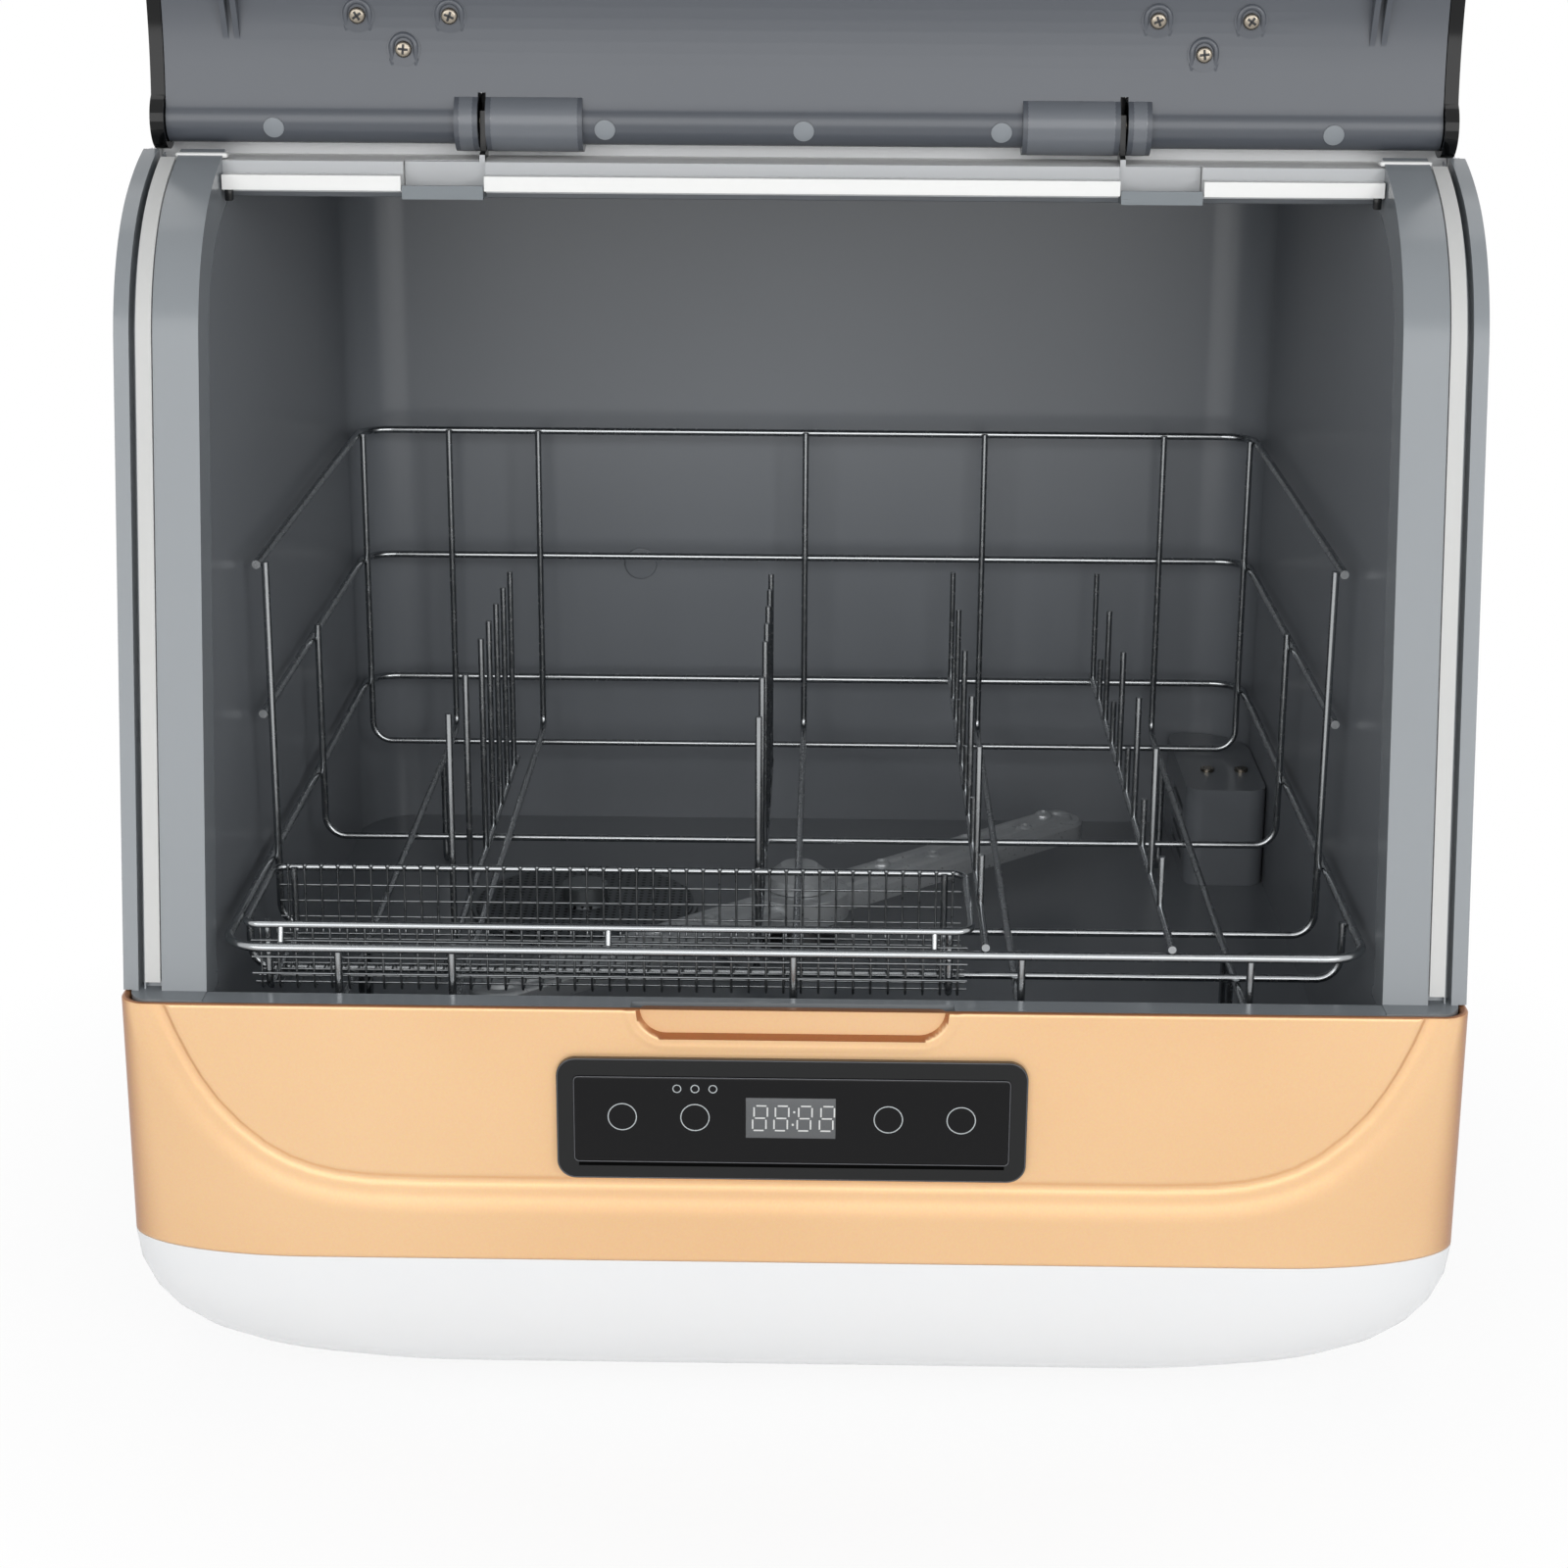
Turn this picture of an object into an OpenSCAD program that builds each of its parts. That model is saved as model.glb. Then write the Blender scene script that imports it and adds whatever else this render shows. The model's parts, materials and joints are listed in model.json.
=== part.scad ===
// Countertop dishwasher with a lid that opens upward, a wire rack and a rotating spray arm.
// Frame: X to the right, Y to the back, Z up. The origin is on the table, under the middle of the machine's
// whole outline with its lid open.
// Most places are measured from the top front edge of the lower front band: y back from it, z up from it.

/* [Cabinet] */
// Width over the side panels
body_w = 434; // [420:1:460]
// Depth from the front band to the rear cover
body_d = 415; // [410:1:440]
// Height of the rubber feet
foot_h = 6; // [4:1:12]
// Height of the boat-shaped base
base_h = 54; // [50:1:62]
// Height of the lower front band
band_h = 90; // [84:1:100]
// Wall of the moulded covers
wall = 2.5; // [2:0.1:3]
// Corner radius of the base's rear, seen from above
base_corner = 42; // [30:1:50]
// How far the underside of the base draws in at the sides
base_draw = 64; // [44:1:70]
// How far the underside of the base draws in at the front
base_draw_front = 38; // [26:1:46]
// How far the band and the base swell past the side panels
swell = 4; // [2:0.5:5]
// Length of the soft front corners of the band's lower edge, along the front
corner_w = 62; // [40:1:70]
// Depth of the soft front corners
corner_d = 23; // [18:1:30]

/* [Lid line] */
// Lean of the opening from vertical, in degrees
front_lean = 11.2; // [9:0.1:13]
// Straight run of the opening's edge above the band
front_run = 208; // [200:1:216]
// Radius of the tight bend of the opening's edge
front_r = 64; // [60:1:70]
// Radius of the slow bend that leads to the hinge
top_r = 120; // [112:1:128]
// Depth of the ledge that the closed lid stands over
ledge_d = 11; // [10:0.5:12]
// Thickness of the lid
lid_t = 11; // [10:0.5:12]
// Angle between the closed lid and the open lid
open_angle = 113; // [105:1:115]

/* [Tub] */
// Inner width of the tub
tub_w = 380; // [374:1:382]
// Rear wall of the tub, from the front of the band
tub_back = 358; // [354:1:359]
// Depth of the tub floor under the band's top edge
tub_drop = 54; // [52:1:56]
// Corner radius at the rear of the tub
tub_r = 24; // [16:1:30]

/* [Rack] */
// Wire of the three rails
rail_d = 3; // [2.6:0.1:3.4]
// Wire of the uprights and cradles
wire_d = 2.6; // [2.2:0.1:3]
// Wire of the tines
tine_d = 2.3; // [2:0.1:2.6]
// Gap between the rack and each side wall of the tub
rack_gap = 3.6; // [3:0.1:5]
// Height of the lowest rail over the band's top edge
low_rail = 14; // [12:0.5:16]
// Step from one rail to the next
rail_step = 53; // [48:1:54]
// Height of the tall tines on the left
tine_h = 82; // [70:1:86]
// Distance between the tall tines
tine_pitch = 26; // [22:1:26]
// Distance between the tines on the right
pair_pitch = 62; // [56:1:62]

/* [Spray arm] */
// Length of the spray arm
arm_len = 304; // [280:2:306]
// Width of the spray arm
arm_w = 22; // [18:1:24]
// Direction in which the arm happens to stand, from the right, in degrees
arm_turn = 42.5; // [0:0.5:60]
// Diameter of the post that carries the arm
post_d = 14; // [12:0.5:16]

/* [Controls] */
// Width of the control bezel
bezel_w = 152; // [140:1:164]
// Height of the control bezel
bezel_h = 42; // [38:1:46]

/* [Hidden] */
$fn = 40;

band_top = foot_h + base_h + band_h;
fit = 0.3;          // gap between pieces that meet
run_fit = 0.05;     // radial gap of a turning fit
eps = 0.01;

// ---- the edge line of the opening, seen from the side: [y, z] ----
line_up = 90 - front_lean;
top_bend = 28;
top_end = 14;
function dir(a) = [cos(a), sin(a)];
function out(a) = [-sin(a), cos(a)];
line_0 = [ledge_d, 0];
line_1 = line_0 + front_run * dir(line_up);
bend_1 = line_1 - front_r * out(line_up);
line_2 = bend_1 + front_r * out(top_bend);
bend_2 = line_2 - top_r * out(top_bend);
line_3 = bend_2 + top_r * out(top_end);
// the line moved outward by off, from the height z0 up to the hinge
function line_pts(off, z0) = concat(
    [line_0 + off * out(line_up) + dir(line_up) * ((z0 - off * out(line_up)[1]) / dir(line_up)[1])],
    [for (i = [0:20]) bend_1 + (front_r + off) * out(line_up + (top_bend - line_up) * i / 20)],
    [for (i = [1:8]) bend_2 + (top_r + off) * out(top_bend + (top_end - top_bend) * i / 8)]);
function backward(p) = [for (i = [len(p) - 1:-1:0]) p[i]];
function band_pts(low, high, z0) = concat(line_pts(high, z0), backward(line_pts(low, z0)));

// ---- hinge ----
roll_r = 7.5;
knuckle_r = 9.8;
pin_d = 5;
hinge_y = line_3[0] + 4.5;
hinge_z = line_3[1] + roll_r + 1.5;
bracket_x = 105;
bracket_t = 1.8;
slot_w = 2.6;
knuckle_in = 72;
knuckle_out = 114;
lid_low = 1;
lid_tip = line_pts(1, lid_low)[0] - [hinge_y, hinge_z];

// the open lid's tip and the inlet connector are the frontmost and rearmost places
inlet_reach = 20;
front_y = -(hinge_y + lid_tip * [cos(open_angle), sin(open_angle)] + body_d + inlet_reach) / 2;

// ---- cabinet lines ----
half_w = body_w / 2;
band_low = -band_h;
base_low = band_low - base_h;
roof_z = hinge_z + roll_r;
roof_front = hinge_y + knuckle_r + 1.2;
rear_r = 45;
wrap_d = 55;
frame_d = 16;
frame_end_z = line_3[1] - 1;
lip_d = 2.6;

// ---- tub lines ----
tub_top = line_3[1] - 16;
tub_t = 2.5;
step_y = 24;
step_z = -14;
tub_y0 = ledge_d + 1;
tub_under = -tub_drop - tub_t;
centre_y = (tub_y0 + tub_back) / 2 + 2;
well_x = -86;
well_y = centre_y + 53;
well_r = 40;
well_h = 4;
house_x0 = tub_w / 2 - 33;
house_x1 = tub_w / 2 - 0.5;
house_y0 = tub_back - 82;
house_y1 = tub_back - 1;
house_h = 41;
house_z = -tub_drop + house_h;
house_screws = [[house_x0 + 11, house_y0 + 27], [house_x1 - 7.5, house_y0 + 27]];

// ---- under the tub ----
base_in = base_low + 3.5;
sump_r = 45;
sump_low = -119;
pump_y = centre_y + 28;
pump_z = -98;
volute_r = 32;
volute_w = 22;
motor_r = 27;
motor_l = 64;
shaft_d = 6;
drain_y0 = well_y + sump_r + fit;
drain_l = 46;

// ---- rear ----
rear_in = body_d - wall;
fan_z = 170;
fan_w = 84;
fan_t = 26;
outlet_x = -160;
outlet_z = -68.5;
supply_x = -70;
supply_z = -40;
cord_x = 150;
cord_z = -60;

// ---- rack ----
rack_half = tub_w / 2 - rack_gap - rail_d / 2;
rack_y0 = ledge_d + 4;
rack_y1 = tub_back - 17;
mid_rail = low_rail + rail_step;
high_rail = mid_rail + rail_step;
weld = -0.1;       // wires that are welded together lie this close
inner_x = rack_half - (rail_d + wire_d) / 2 + weld;
inner_y0 = rack_y0 + (rail_d + wire_d) / 2 - weld;
inner_y1 = rack_y1 - (rail_d + wire_d) / 2 + weld;
floor_z = -8;
cradle_z = floor_z - wire_d + weld;
rear_cradle_y = rack_y1 - 14;
mid_cradle_y = 201;
front_cradle_y = 103;
low_cradle_y = 47;
rib_x = [-148, -111, 0, 74, 148];
low_bar_x = -13;
left_row_x = -118;
right_row_x = 62;
outer_row_x = 122;
last_tine_y = 283;
pair_tall = 46;
pair_low = 18;
pair_gap = 32;

// ---- basket ----
bask_x0 = -inner_x + wire_d / 2 + 2.4;
bask_x1 = right_row_x - 4.4;
bask_z0 = floor_z + 1.5 * wire_d + 0.2;
bask_z1 = low_rail + rail_d / 2 + 5.2;
bask_y0 = rack_y0 + 3.6;
bask_y1 = 75;
bask_d = 2.4;
mesh_d = 1.2;

module place() {
    translate([0, front_y, band_top])
        children();
}

// extrude a [y, z] outline along X between x0 and x1
module along_x(x0, x1) {
    translate([x0, 0, 0])
        rotate([90, 0, 90])
            linear_extrude(height = x1 - x0)
                children();
}

module mirrored_x() {
    children();
    mirror([1, 0, 0])
        children();
}

module rounded_rect(x0, x1, y0, y1, r) {
    translate([x0 + r, y0])
        square([x1 - x0 - 2 * r, y1 - y0]);
    translate([x0, y0 + r])
        square([x1 - x0, y1 - y0 - 2 * r]);
    for (x = [x0 + r, x1 - r], y = [y0 + r, y1 - r])
        translate([x, y])
            circle(r = r);
}

module block(x0, x1, y0, y1, z0, z1) {
    translate([x0, y0, z0])
        cube([x1 - x0, y1 - y0, z1 - z0]);
}

// a straight rod from a to b
module rod(a, b, d) {
    run = b - a;
    translate(a)
        rotate([0, acos(run[2] / norm(run)), atan2(run[1], run[0])])
            cylinder(h = norm(run), d = d, $fn = 24);
}

// a round bend of radius r at the corner p, from direction u to direction v
module rod_bend(p, u, v, r, d) {
    turn = acos(u * v);
    w = cross(u, v) / norm(cross(u, v));
    inward = cross(w, u);
    centre = p - u * (r * tan(turn / 2)) + inward * r;
    x = -inward;
    y = cross(w, x);
    multmatrix([
        [x[0], y[0], w[0], centre[0]],
        [x[1], y[1], w[1], centre[1]],
        [x[2], y[2], w[2], centre[2]],
        [0, 0, 0, 1]])
        rotate_extrude(angle = turn)
            translate([r, 0])
                circle(d = d, $fn = 24);
}

// a wire through the points pts, bent with radius r
module bent_wire(pts, r, d, closed = false) {
    n = len(pts);
    function heading(i) = (pts[(i + 1) % n] - pts[i % n]) / norm(pts[(i + 1) % n] - pts[i % n]);
    function is_bend(i) = closed || (i % n != 0 && i % n != n - 1);
    function cut(i) = is_bend(i) ? r * tan(acos(heading(i + n - 1) * heading(i)) / 2) : 0;
    for (i = [0:closed ? n - 1 : n - 2])
        rod(pts[i] + heading(i) * cut(i), pts[(i + 1) % n] - heading(i) * cut(i + 1), d);
    for (i = [closed ? 0 : 1:closed ? n - 1 : n - 2])
        rod_bend(pts[i], heading(i + n - 1), heading(i), r, d);
}

// ================= base =================

// outline of the base and of the band's lower edge: elliptical corners in front, round ones at the rear
module low_plan(side, front, inset) {
    x_front = half_w + swell - side - inset;
    x_rear = half_w - side - inset;
    y0 = 2 + front + inset;
    y1 = body_d - 2 - front - inset;
    a = corner_w - inset + side / 4;
    b = corner_d - inset;
    r = base_corner - inset;
    right = concat(
        [for (i = [0:12]) [x_front - a + a * sin(i * 7.5), y0 + b - b * cos(i * 7.5)]],
        [for (i = [0:12]) [x_rear - r + r * cos(i * 7.5), y1 - r + r * sin(i * 7.5)]]);
    polygon(concat(right, [for (i = [len(right) - 1:-1:0]) [-right[i][0], right[i][1]]]));
}

// slice of the boat shape, at the share t of its height
module base_slice(t, inset) {
    share = 1 - cos(t * 90);
    translate([0, 0, band_low - 0.4 - (base_h - 0.4 - inset) * sin(t * 90)])
        linear_extrude(height = 0.4)
            low_plan(base_draw * share, base_draw_front * share, inset);
}

module base_form(inset) {
    hull()
        for (t = [0:0.125:1])
            base_slice(t, inset);
}

foot_x = 128;
foot_y0 = 76;
foot_y1 = body_d - 76;

module base_shell() color("white") place() {
    difference() {
        base_form(0);
        translate([0, 0, 0.5])
            base_form(3);
        for (x = [-foot_x, foot_x], y = [foot_y0, foot_y1])
            translate([x, y, base_low - 1])
                cylinder(h = 6, d = 4.4);
        for (x = [-60:12:60])
            block(x - 2, x + 2, 190, 260, base_low - 1, base_in + 1);
    }
    mirrored_x()
        difference() {
            block(half_w - 60, half_w - wall - 0.2, body_d - 62, body_d - wall - 0.2,
                band_low - 0.4, band_low + 2.2);
            translate([0, 0, band_low - 1])
                linear_extrude(height = 5)
                    low_plan(0, 0, 3);
        }
}

module feet() color("dimgray") place() {
    for (x = [-foot_x, foot_x], y = [foot_y0, foot_y1])
        translate([x, y, base_low - foot_h])
            difference() {
                cylinder(h = foot_h - 0.1, r = 13);
                translate([0, 0, -1])
                    cylinder(h = 3.5, r = 5);
                cylinder(h = foot_h + 1, d = 4.4);
            }
}

module base_screws() color("silver") place() {
    for (x = [-foot_x, foot_x], y = [foot_y0, foot_y1])
        translate([x, y, base_low - foot_h + 0.2]) {
            cylinder(h = 2.2, r = 4.2);
            cylinder(h = 14, d = 4);
        }
}

// ================= front band and controls =================

bezel_z = -37.5;
bezel_r = 6.2;
panel_w = bezel_w - 11;
panel_h = bezel_h - 12;
recess_w = 98;
recess_h = 9;

module band_form(inset) {
    hull() {
        translate([0, 0, -0.2])
            linear_extrude(height = 0.2)
                rounded_rect(-half_w + inset, half_w - inset, inset, body_d - 10, 9 - inset);
        translate([0, 0, band_low])
            linear_extrude(height = 0.2)
                low_plan(0, 0, inset);
    }
}

module finger_recess(x, z, y0, y1) {
    translate([0, y1, 0])
        rotate([90, 0, 0])
            linear_extrude(height = y1 - y0)
                rounded_rect(-x / 2, x / 2, -z, 12, 5.5);
}

module front_band() color("#e8b583") place() {
    difference() {
        union() {
            difference() {
                band_form(0);
                translate([0, 0, 0.5])
                    band_form(wall);
                translate([0, 0, -0.5])
                    band_form(wall);
            }
            intersection() {
                band_form(0.5);
                finger_recess(recess_w + 5, recess_h + 2.5, 0, 7);
            }
        }
        block(-half_w - 1, half_w + 1, wrap_d, body_d, band_low - 1, 1);
        difference() {
            finger_recess(recess_w, recess_h, -1, 4.5);
            block(-recess_w, recess_w, -2, 8, -recess_h - 20, -recess_h - 10);
        }
        translate([0, 8, bezel_z])
            rotate([90, 0, 0])
                linear_extrude(height = 12)
                    rounded_rect(-bezel_w / 2 + 3, bezel_w / 2 - 3, -bezel_h / 2 + 3, bezel_h / 2 - 3, 4);
    }
}

module control_bezel() color("black") place() translate([0, 0, bezel_z]) {
    difference() {
        union() {
            translate([0, 0.2, 0])
                rotate([90, 0, 0])
                    linear_extrude(height = 1.8)
                        rounded_rect(-bezel_w / 2, bezel_w / 2, -bezel_h / 2, bezel_h / 2, bezel_r);
            translate([0, 7.4, 0])
                rotate([90, 0, 0])
                    linear_extrude(height = 7.6)
                        rounded_rect(-bezel_w / 2 + 3.4, bezel_w / 2 - 3.4,
                            -bezel_h / 2 + 3.4, bezel_h / 2 - 3.4, 3.6);
        }
        translate([0, 8, 0])
            rotate([90, 0, 0])
                linear_extrude(height = 12)
                    rounded_rect(-panel_w / 2, panel_w / 2, -panel_h / 2, panel_h / 2, 1.6);
        block(-bezel_w / 2 + 6, bezel_w / 2 - 6, 3.4, 8, -bezel_h / 2 + 5, bezel_h / 2 - 5);
    }
}

module control_panel() color("#15171a") place() translate([0, 0, bezel_z]) {
    translate([0, 1, 0])
        rotate([90, 0, 0])
            linear_extrude(height = 1.6)
                rounded_rect(-panel_w / 2 + 0.15, panel_w / 2 - 0.15, -panel_h / 2 + 0.15,
                    panel_h / 2 - 0.15, 1.5);
}

module display_module() color("gray") place() translate([0, 0, bezel_z])
    block(-15, 15, 1.2, 6.8, -7.5, 7.5);

module control_board() color("darkgreen") place() translate([0, 0, bezel_z]) {
    difference() {
        union() {
            block(-64, 64, 7, 8.6, -14.5, 14.5);
            for (x = [-54, -31, 31, 54])
                translate([x, 7.2, 0])
                    rotate([90, 0, 0])
                        cylinder(h = 5.9, d = 9);
            block(-30, -8, 8.5, 12, -12, -6);
            block(20, 44, 8.5, 11, -10, 6);
        }
        for (x = [-60, 60], z = [-11, 11])
            translate([x, 10, z])
                rotate([90, 0, 0])
                    cylinder(h = 6, d = 3);
    }
}

// ================= cabinet =================

// outline of the cabinet seen from the side, drawn in by inset at the top and rear
module cabinet_side(inset) {
    corner = [body_d - wall - rear_r, roof_z - rear_r];
    difference() {
        polygon(concat(
            [[body_d - wall - inset, band_low], [wrap_d + fit, band_low], [wrap_d + fit, 0], [ledge_d + 4, 0]],
            line_pts(-lip_d - fit, 0.2),
            [[line_3[0] + 1.2, frame_end_z], [roof_front, frame_end_z], [roof_front, roof_z - inset]],
            [for (i = [0:12]) corner + (rear_r - inset) * dir(90 - 90 * i / 12)]));
        translate([hinge_y, hinge_z])
            circle(r = knuckle_r + 0.8);
    }
}

module side_panel(x0, x1) {
    difference() {
        along_x(x0, x1)
            cabinet_side(0);
        for (z = [-60, -20])
            block(x0 - 1, x1 + 1, body_d - 60, body_d - 20, z, z + 4);
    }
}

module side_panel_left() color("white") place() side_panel(-half_w, -half_w + wall);

module side_panel_right() color("white") place() side_panel(half_w - wall, half_w);

module top_cover() color("white") place() {
    corner = [body_d - wall - rear_r, roof_z - rear_r];
    lip_z = tub_top + tub_t + 2;
    along_x(-half_w + wall + 0.2, half_w - wall - 0.2)
        polygon(concat(
            [[roof_front, lip_z], [roof_front, roof_z]],
            [for (i = [0:12]) corner + rear_r * dir(90 - 90 * i / 12)],
            [[body_d - wall, roof_z - rear_r - 6], [body_d - 2 * wall, roof_z - rear_r - 6]],
            [for (i = [12:-1:0]) corner + (rear_r - wall) * dir(90 - 90 * i / 12)],
            [[roof_front + wall, roof_z - wall], [roof_front + wall, lip_z]]));
}

module rear_cover() color("white") place() {
    top_z = roof_z - rear_r - 6.3;
    difference() {
        union() {
            block(-half_w + wall + 0.2, half_w - wall - 0.2, body_d - wall, body_d, band_low, top_z);
            for (x = [-half_w + wall + 0.2, half_w - wall - 10.2])
                block(x, x + 10, body_d - 14, body_d - wall + eps, band_low + 3, top_z - 20);
        }
        translate([0, body_d + 1, fan_z])
            rotate([90, 0, 0])
                cylinder(h = 2 * wall, d = 20);
        for (i = [-3:3], j = [0:2])
            block(-34 + 24 * j, -18 + 24 * j, body_d - 2 * wall, body_d + 1,
                fan_z + 8 * i + 2.4, fan_z + 8 * i + 5.6);
        for (i = [0:7])
            block(90 + 9 * i, 94 + 9 * i, body_d - 2 * wall, body_d + 1, 20, 60);
        for (p = [[outlet_x, outlet_z, 25], [supply_x, supply_z, 31], [cord_x, cord_z, 18]])
            translate([p[0], body_d + 1, p[1]])
                rotate([90, 0, 0])
                    cylinder(h = 2 * wall, d = p[2] + 0.2);
        rear_screw_places()
            cylinder(h = 30, d = 4.1, center = true);
    }
}

module rear_screw_places() {
    for (x = [-half_w + 9, half_w - 9], z = [-70, 10, 90, 170])
        translate([x, body_d, z])
            rotate([90, 0, 0])
                children();
}

module rear_screws() color("silver") place() {
    rear_screw_places() {
        translate([0, 0, -2])
            cylinder(h = 2, r = 3.9);
        cylinder(h = 12, d = 4);
    }
}

// ================= opening frame, seals and hinge =================

groove_x0 = half_w - 6.5;
groove_x1 = half_w - 4.9;
seal_x0 = groove_x0 - 5.9;
rim_x0 = tub_w / 2;
frame_x1 = half_w - wall - 0.2;
bar_z1 = line_3[1] - 7.2;
bar_z0 = bar_z1 - 4.8;
bar_y0 = line_3[0] - 13;
rail_y0 = bar_y0 + 6;
rail_z1 = line_3[1] - 3.2;
clip_x0 = 104;
clip_x1 = 130.5;
clip_z0 = bar_z0 - 2.7;

module frame_side() {
    along_x(rim_x0, seal_x0)
        polygon(band_pts(-frame_d, 0, 0));
    along_x(seal_x0 - eps, groove_x0 + eps)
        polygon(band_pts(-frame_d, -4.2, 0));
    along_x(groove_x0 - 0.5, groove_x0)
        polygon(band_pts(-frame_d, -1.5, 0));
    along_x(groove_x0, groove_x1)
        polygon(band_pts(-frame_d, -7, 0));
    along_x(groove_x1, frame_x1)
        polygon(band_pts(-frame_d, 0, 0));
    along_x(frame_x1 - 0.1, half_w)
        polygon(band_pts(-lip_d, -0.04, 0.3));
}

// plan of the ledge behind the band's top edge, cut off at the depth y
module ledge_plan(y) {
    difference() {
        rounded_rect(-frame_x1, frame_x1, 2.8, y + 20, 8.6);
        translate([-half_w, y])
            square([body_w, 40]);
    }
}

module door_frame() color("slategray") place() {
    difference() {
        union() {
            mirrored_x()
                frame_side();
            translate([0, 0, -4])
                linear_extrude(height = 3.7)
                    ledge_plan(ledge_d + 0.6);
            translate([0, 0, -4])
                linear_extrude(height = 4.1)
                    difference() {
                        ledge_plan(ledge_d + frame_d + 2.2);
                        square([2 * rim_x0, 200], center = true);
                    }
            block(-rim_x0 - 1, rim_x0 + 1, rail_y0, roof_front + 6, tub_top + tub_t + 0.3, rail_z1);
        }
        translate([0, hinge_y, hinge_z])
            rotate([0, 90, 0])
                cylinder(h = body_w + 2, r = knuckle_r + 1, center = true);
        block(-half_w, half_w, roof_front - 0.3, roof_front + wall + 0.3, tub_top + tub_t + 1.7, rail_z1 + 30);
        mirrored_x()
            block(clip_x0 - 0.3, clip_x1 + 0.3, rail_y0 - 1, rail_y0 + 5.3, tub_top, rail_z1 + 1);
        block(-recess_w / 2 - 3, recess_w / 2 + 3, 0, 7.3, -6, 1);
    }
}

module door_seal() {
    intersection() {
        along_x(seal_x0 + 0.3, groove_x0 - 0.7)
            polygon(band_pts(-4.1, 0.6, 3));
        block(0, half_w, 0, bar_y0 + 4, 2, frame_end_z + 5);
    }
}

module seal_right() color("gainsboro") place() door_seal();

module seal_left() color("gainsboro") place() mirror([1, 0, 0]) door_seal();

// white strips under the hinge: two short pieces outside the clips and a long one between
module top_seal_bar() color("white") place() {
    end_x = min(rim_x0, seal_x0) - 0.6;
    for (x = [[-end_x, -clip_x1 - 0.4], [-clip_x0 + 0.4, clip_x0 - 0.4], [clip_x1 + 0.4, end_x]])
        along_x(x[0], x[1])
            polygon([[bar_y0, bar_z0], [bar_y0, bar_z1], [rail_y0 - 0.1, bar_z1], [rail_y0 - 0.1, bar_z0]]);
}

// steel clip on the top rail with an ear that holds the hinge pin
module hinge_bracket() {
    ear_x = bracket_x - bracket_t / 2;
    difference() {
        union() {
            block(clip_x0, clip_x1, bar_y0 - 0.2, rail_y0 + 5, clip_z0, clip_z0 + 2);
            block(clip_x0, clip_x1, rail_y0 + 3, rail_y0 + 5, clip_z0, rail_z1 - 0.2);
            block(clip_x0, clip_x1, bar_y0 - 0.2, bar_y0 + 1.2, clip_z0, clip_z0 + 4.4);
            along_x(ear_x, ear_x + bracket_t)
                polygon([
                    [rail_y0 + 3, clip_z0 + 2], [rail_y0 + 3, line_3[1] - 1.2],
                    [hinge_y - 4.8, line_3[1] - 0.3],
                    [hinge_y - 5, hinge_z - 1], [hinge_y - 4, hinge_z + 3.6], [hinge_y + 4, hinge_z + 3.6],
                    [hinge_y + 5, hinge_z - 2], [hinge_y + 2, rail_z1 + 0.5], [rail_y0 + 5, rail_z1 + 0.5],
                    [rail_y0 + 5, clip_z0 + 2]]);
        }
        translate([ear_x - 1, hinge_y, hinge_z])
            rotate([0, 90, 0])
                cylinder(h = bracket_t + 2, d = pin_d + 0.02);
    }
}

module hinge_bracket_right() color("lightslategray") place() hinge_bracket();

module hinge_bracket_left() color("lightslategray") place() mirror([1, 0, 0]) hinge_bracket();

module hinge_pin() {
    translate([knuckle_in + 3, hinge_y, hinge_z])
        rotate([0, 90, 0])
            cylinder(h = knuckle_out - knuckle_in - 4, d = pin_d);
}

module hinge_pin_right() color("silver") place() hinge_pin();

module hinge_pin_left() color("silver") place() mirror([1, 0, 0]) hinge_pin();

// ================= lid, drawn closed and turned open =================

lid_half = half_w - 3.4;
skin = 2.5;
lid_side = 4.5;
cap_r = knuckle_r;

module lid_open() {
    translate([0, hinge_y, hinge_z])
        rotate([-open_angle, 0, 0])
            translate([0, -hinge_y, -hinge_z])
                children();
}

module axis_rod(r, x0, x1) {
    translate([x0, hinge_y, hinge_z])
        rotate([0, 90, 0])
            cylinder(h = x1 - x0, r = r);
}

module lid_outer() color("black") place() lid_open() {
    difference() {
        union() {
            along_x(-lid_half, lid_half)
                polygon(band_pts(lid_t - skin, lid_t, lid_low));
            mirrored_x() {
                along_x(lid_half - lid_side, lid_half)
                    polygon(band_pts(1, lid_t, lid_low));
                axis_rod(cap_r, lid_half - lid_side, lid_half);
            }
            intersection() {
                along_x(-lid_half + 1, lid_half - 1)
                    polygon(band_pts(1 + skin + fit, lid_t - 0.5, lid_low));
                block(-lid_half, lid_half, -20, ledge_d + 10, 0, lid_low + 3);
            }
        }
        axis_rod(roll_r + 0.3, -lid_half + lid_side - 0.1, lid_half - lid_side + 0.1);
        mirrored_x()
            axis_rod(knuckle_r + 0.4, knuckle_in - 0.4, knuckle_out + 0.4);
        mirrored_x()
            lid_slot();
    }
}

module lid_slot() {
    axis_rod(knuckle_r + 1.1, bracket_x - slot_w / 2, bracket_x + slot_w / 2);
}

screw_places = [[-145, 35.2], [-115, 35.2], [-130.3, 24.6]];
lid_x1 = lid_half - lid_side - 0.3;

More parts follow.
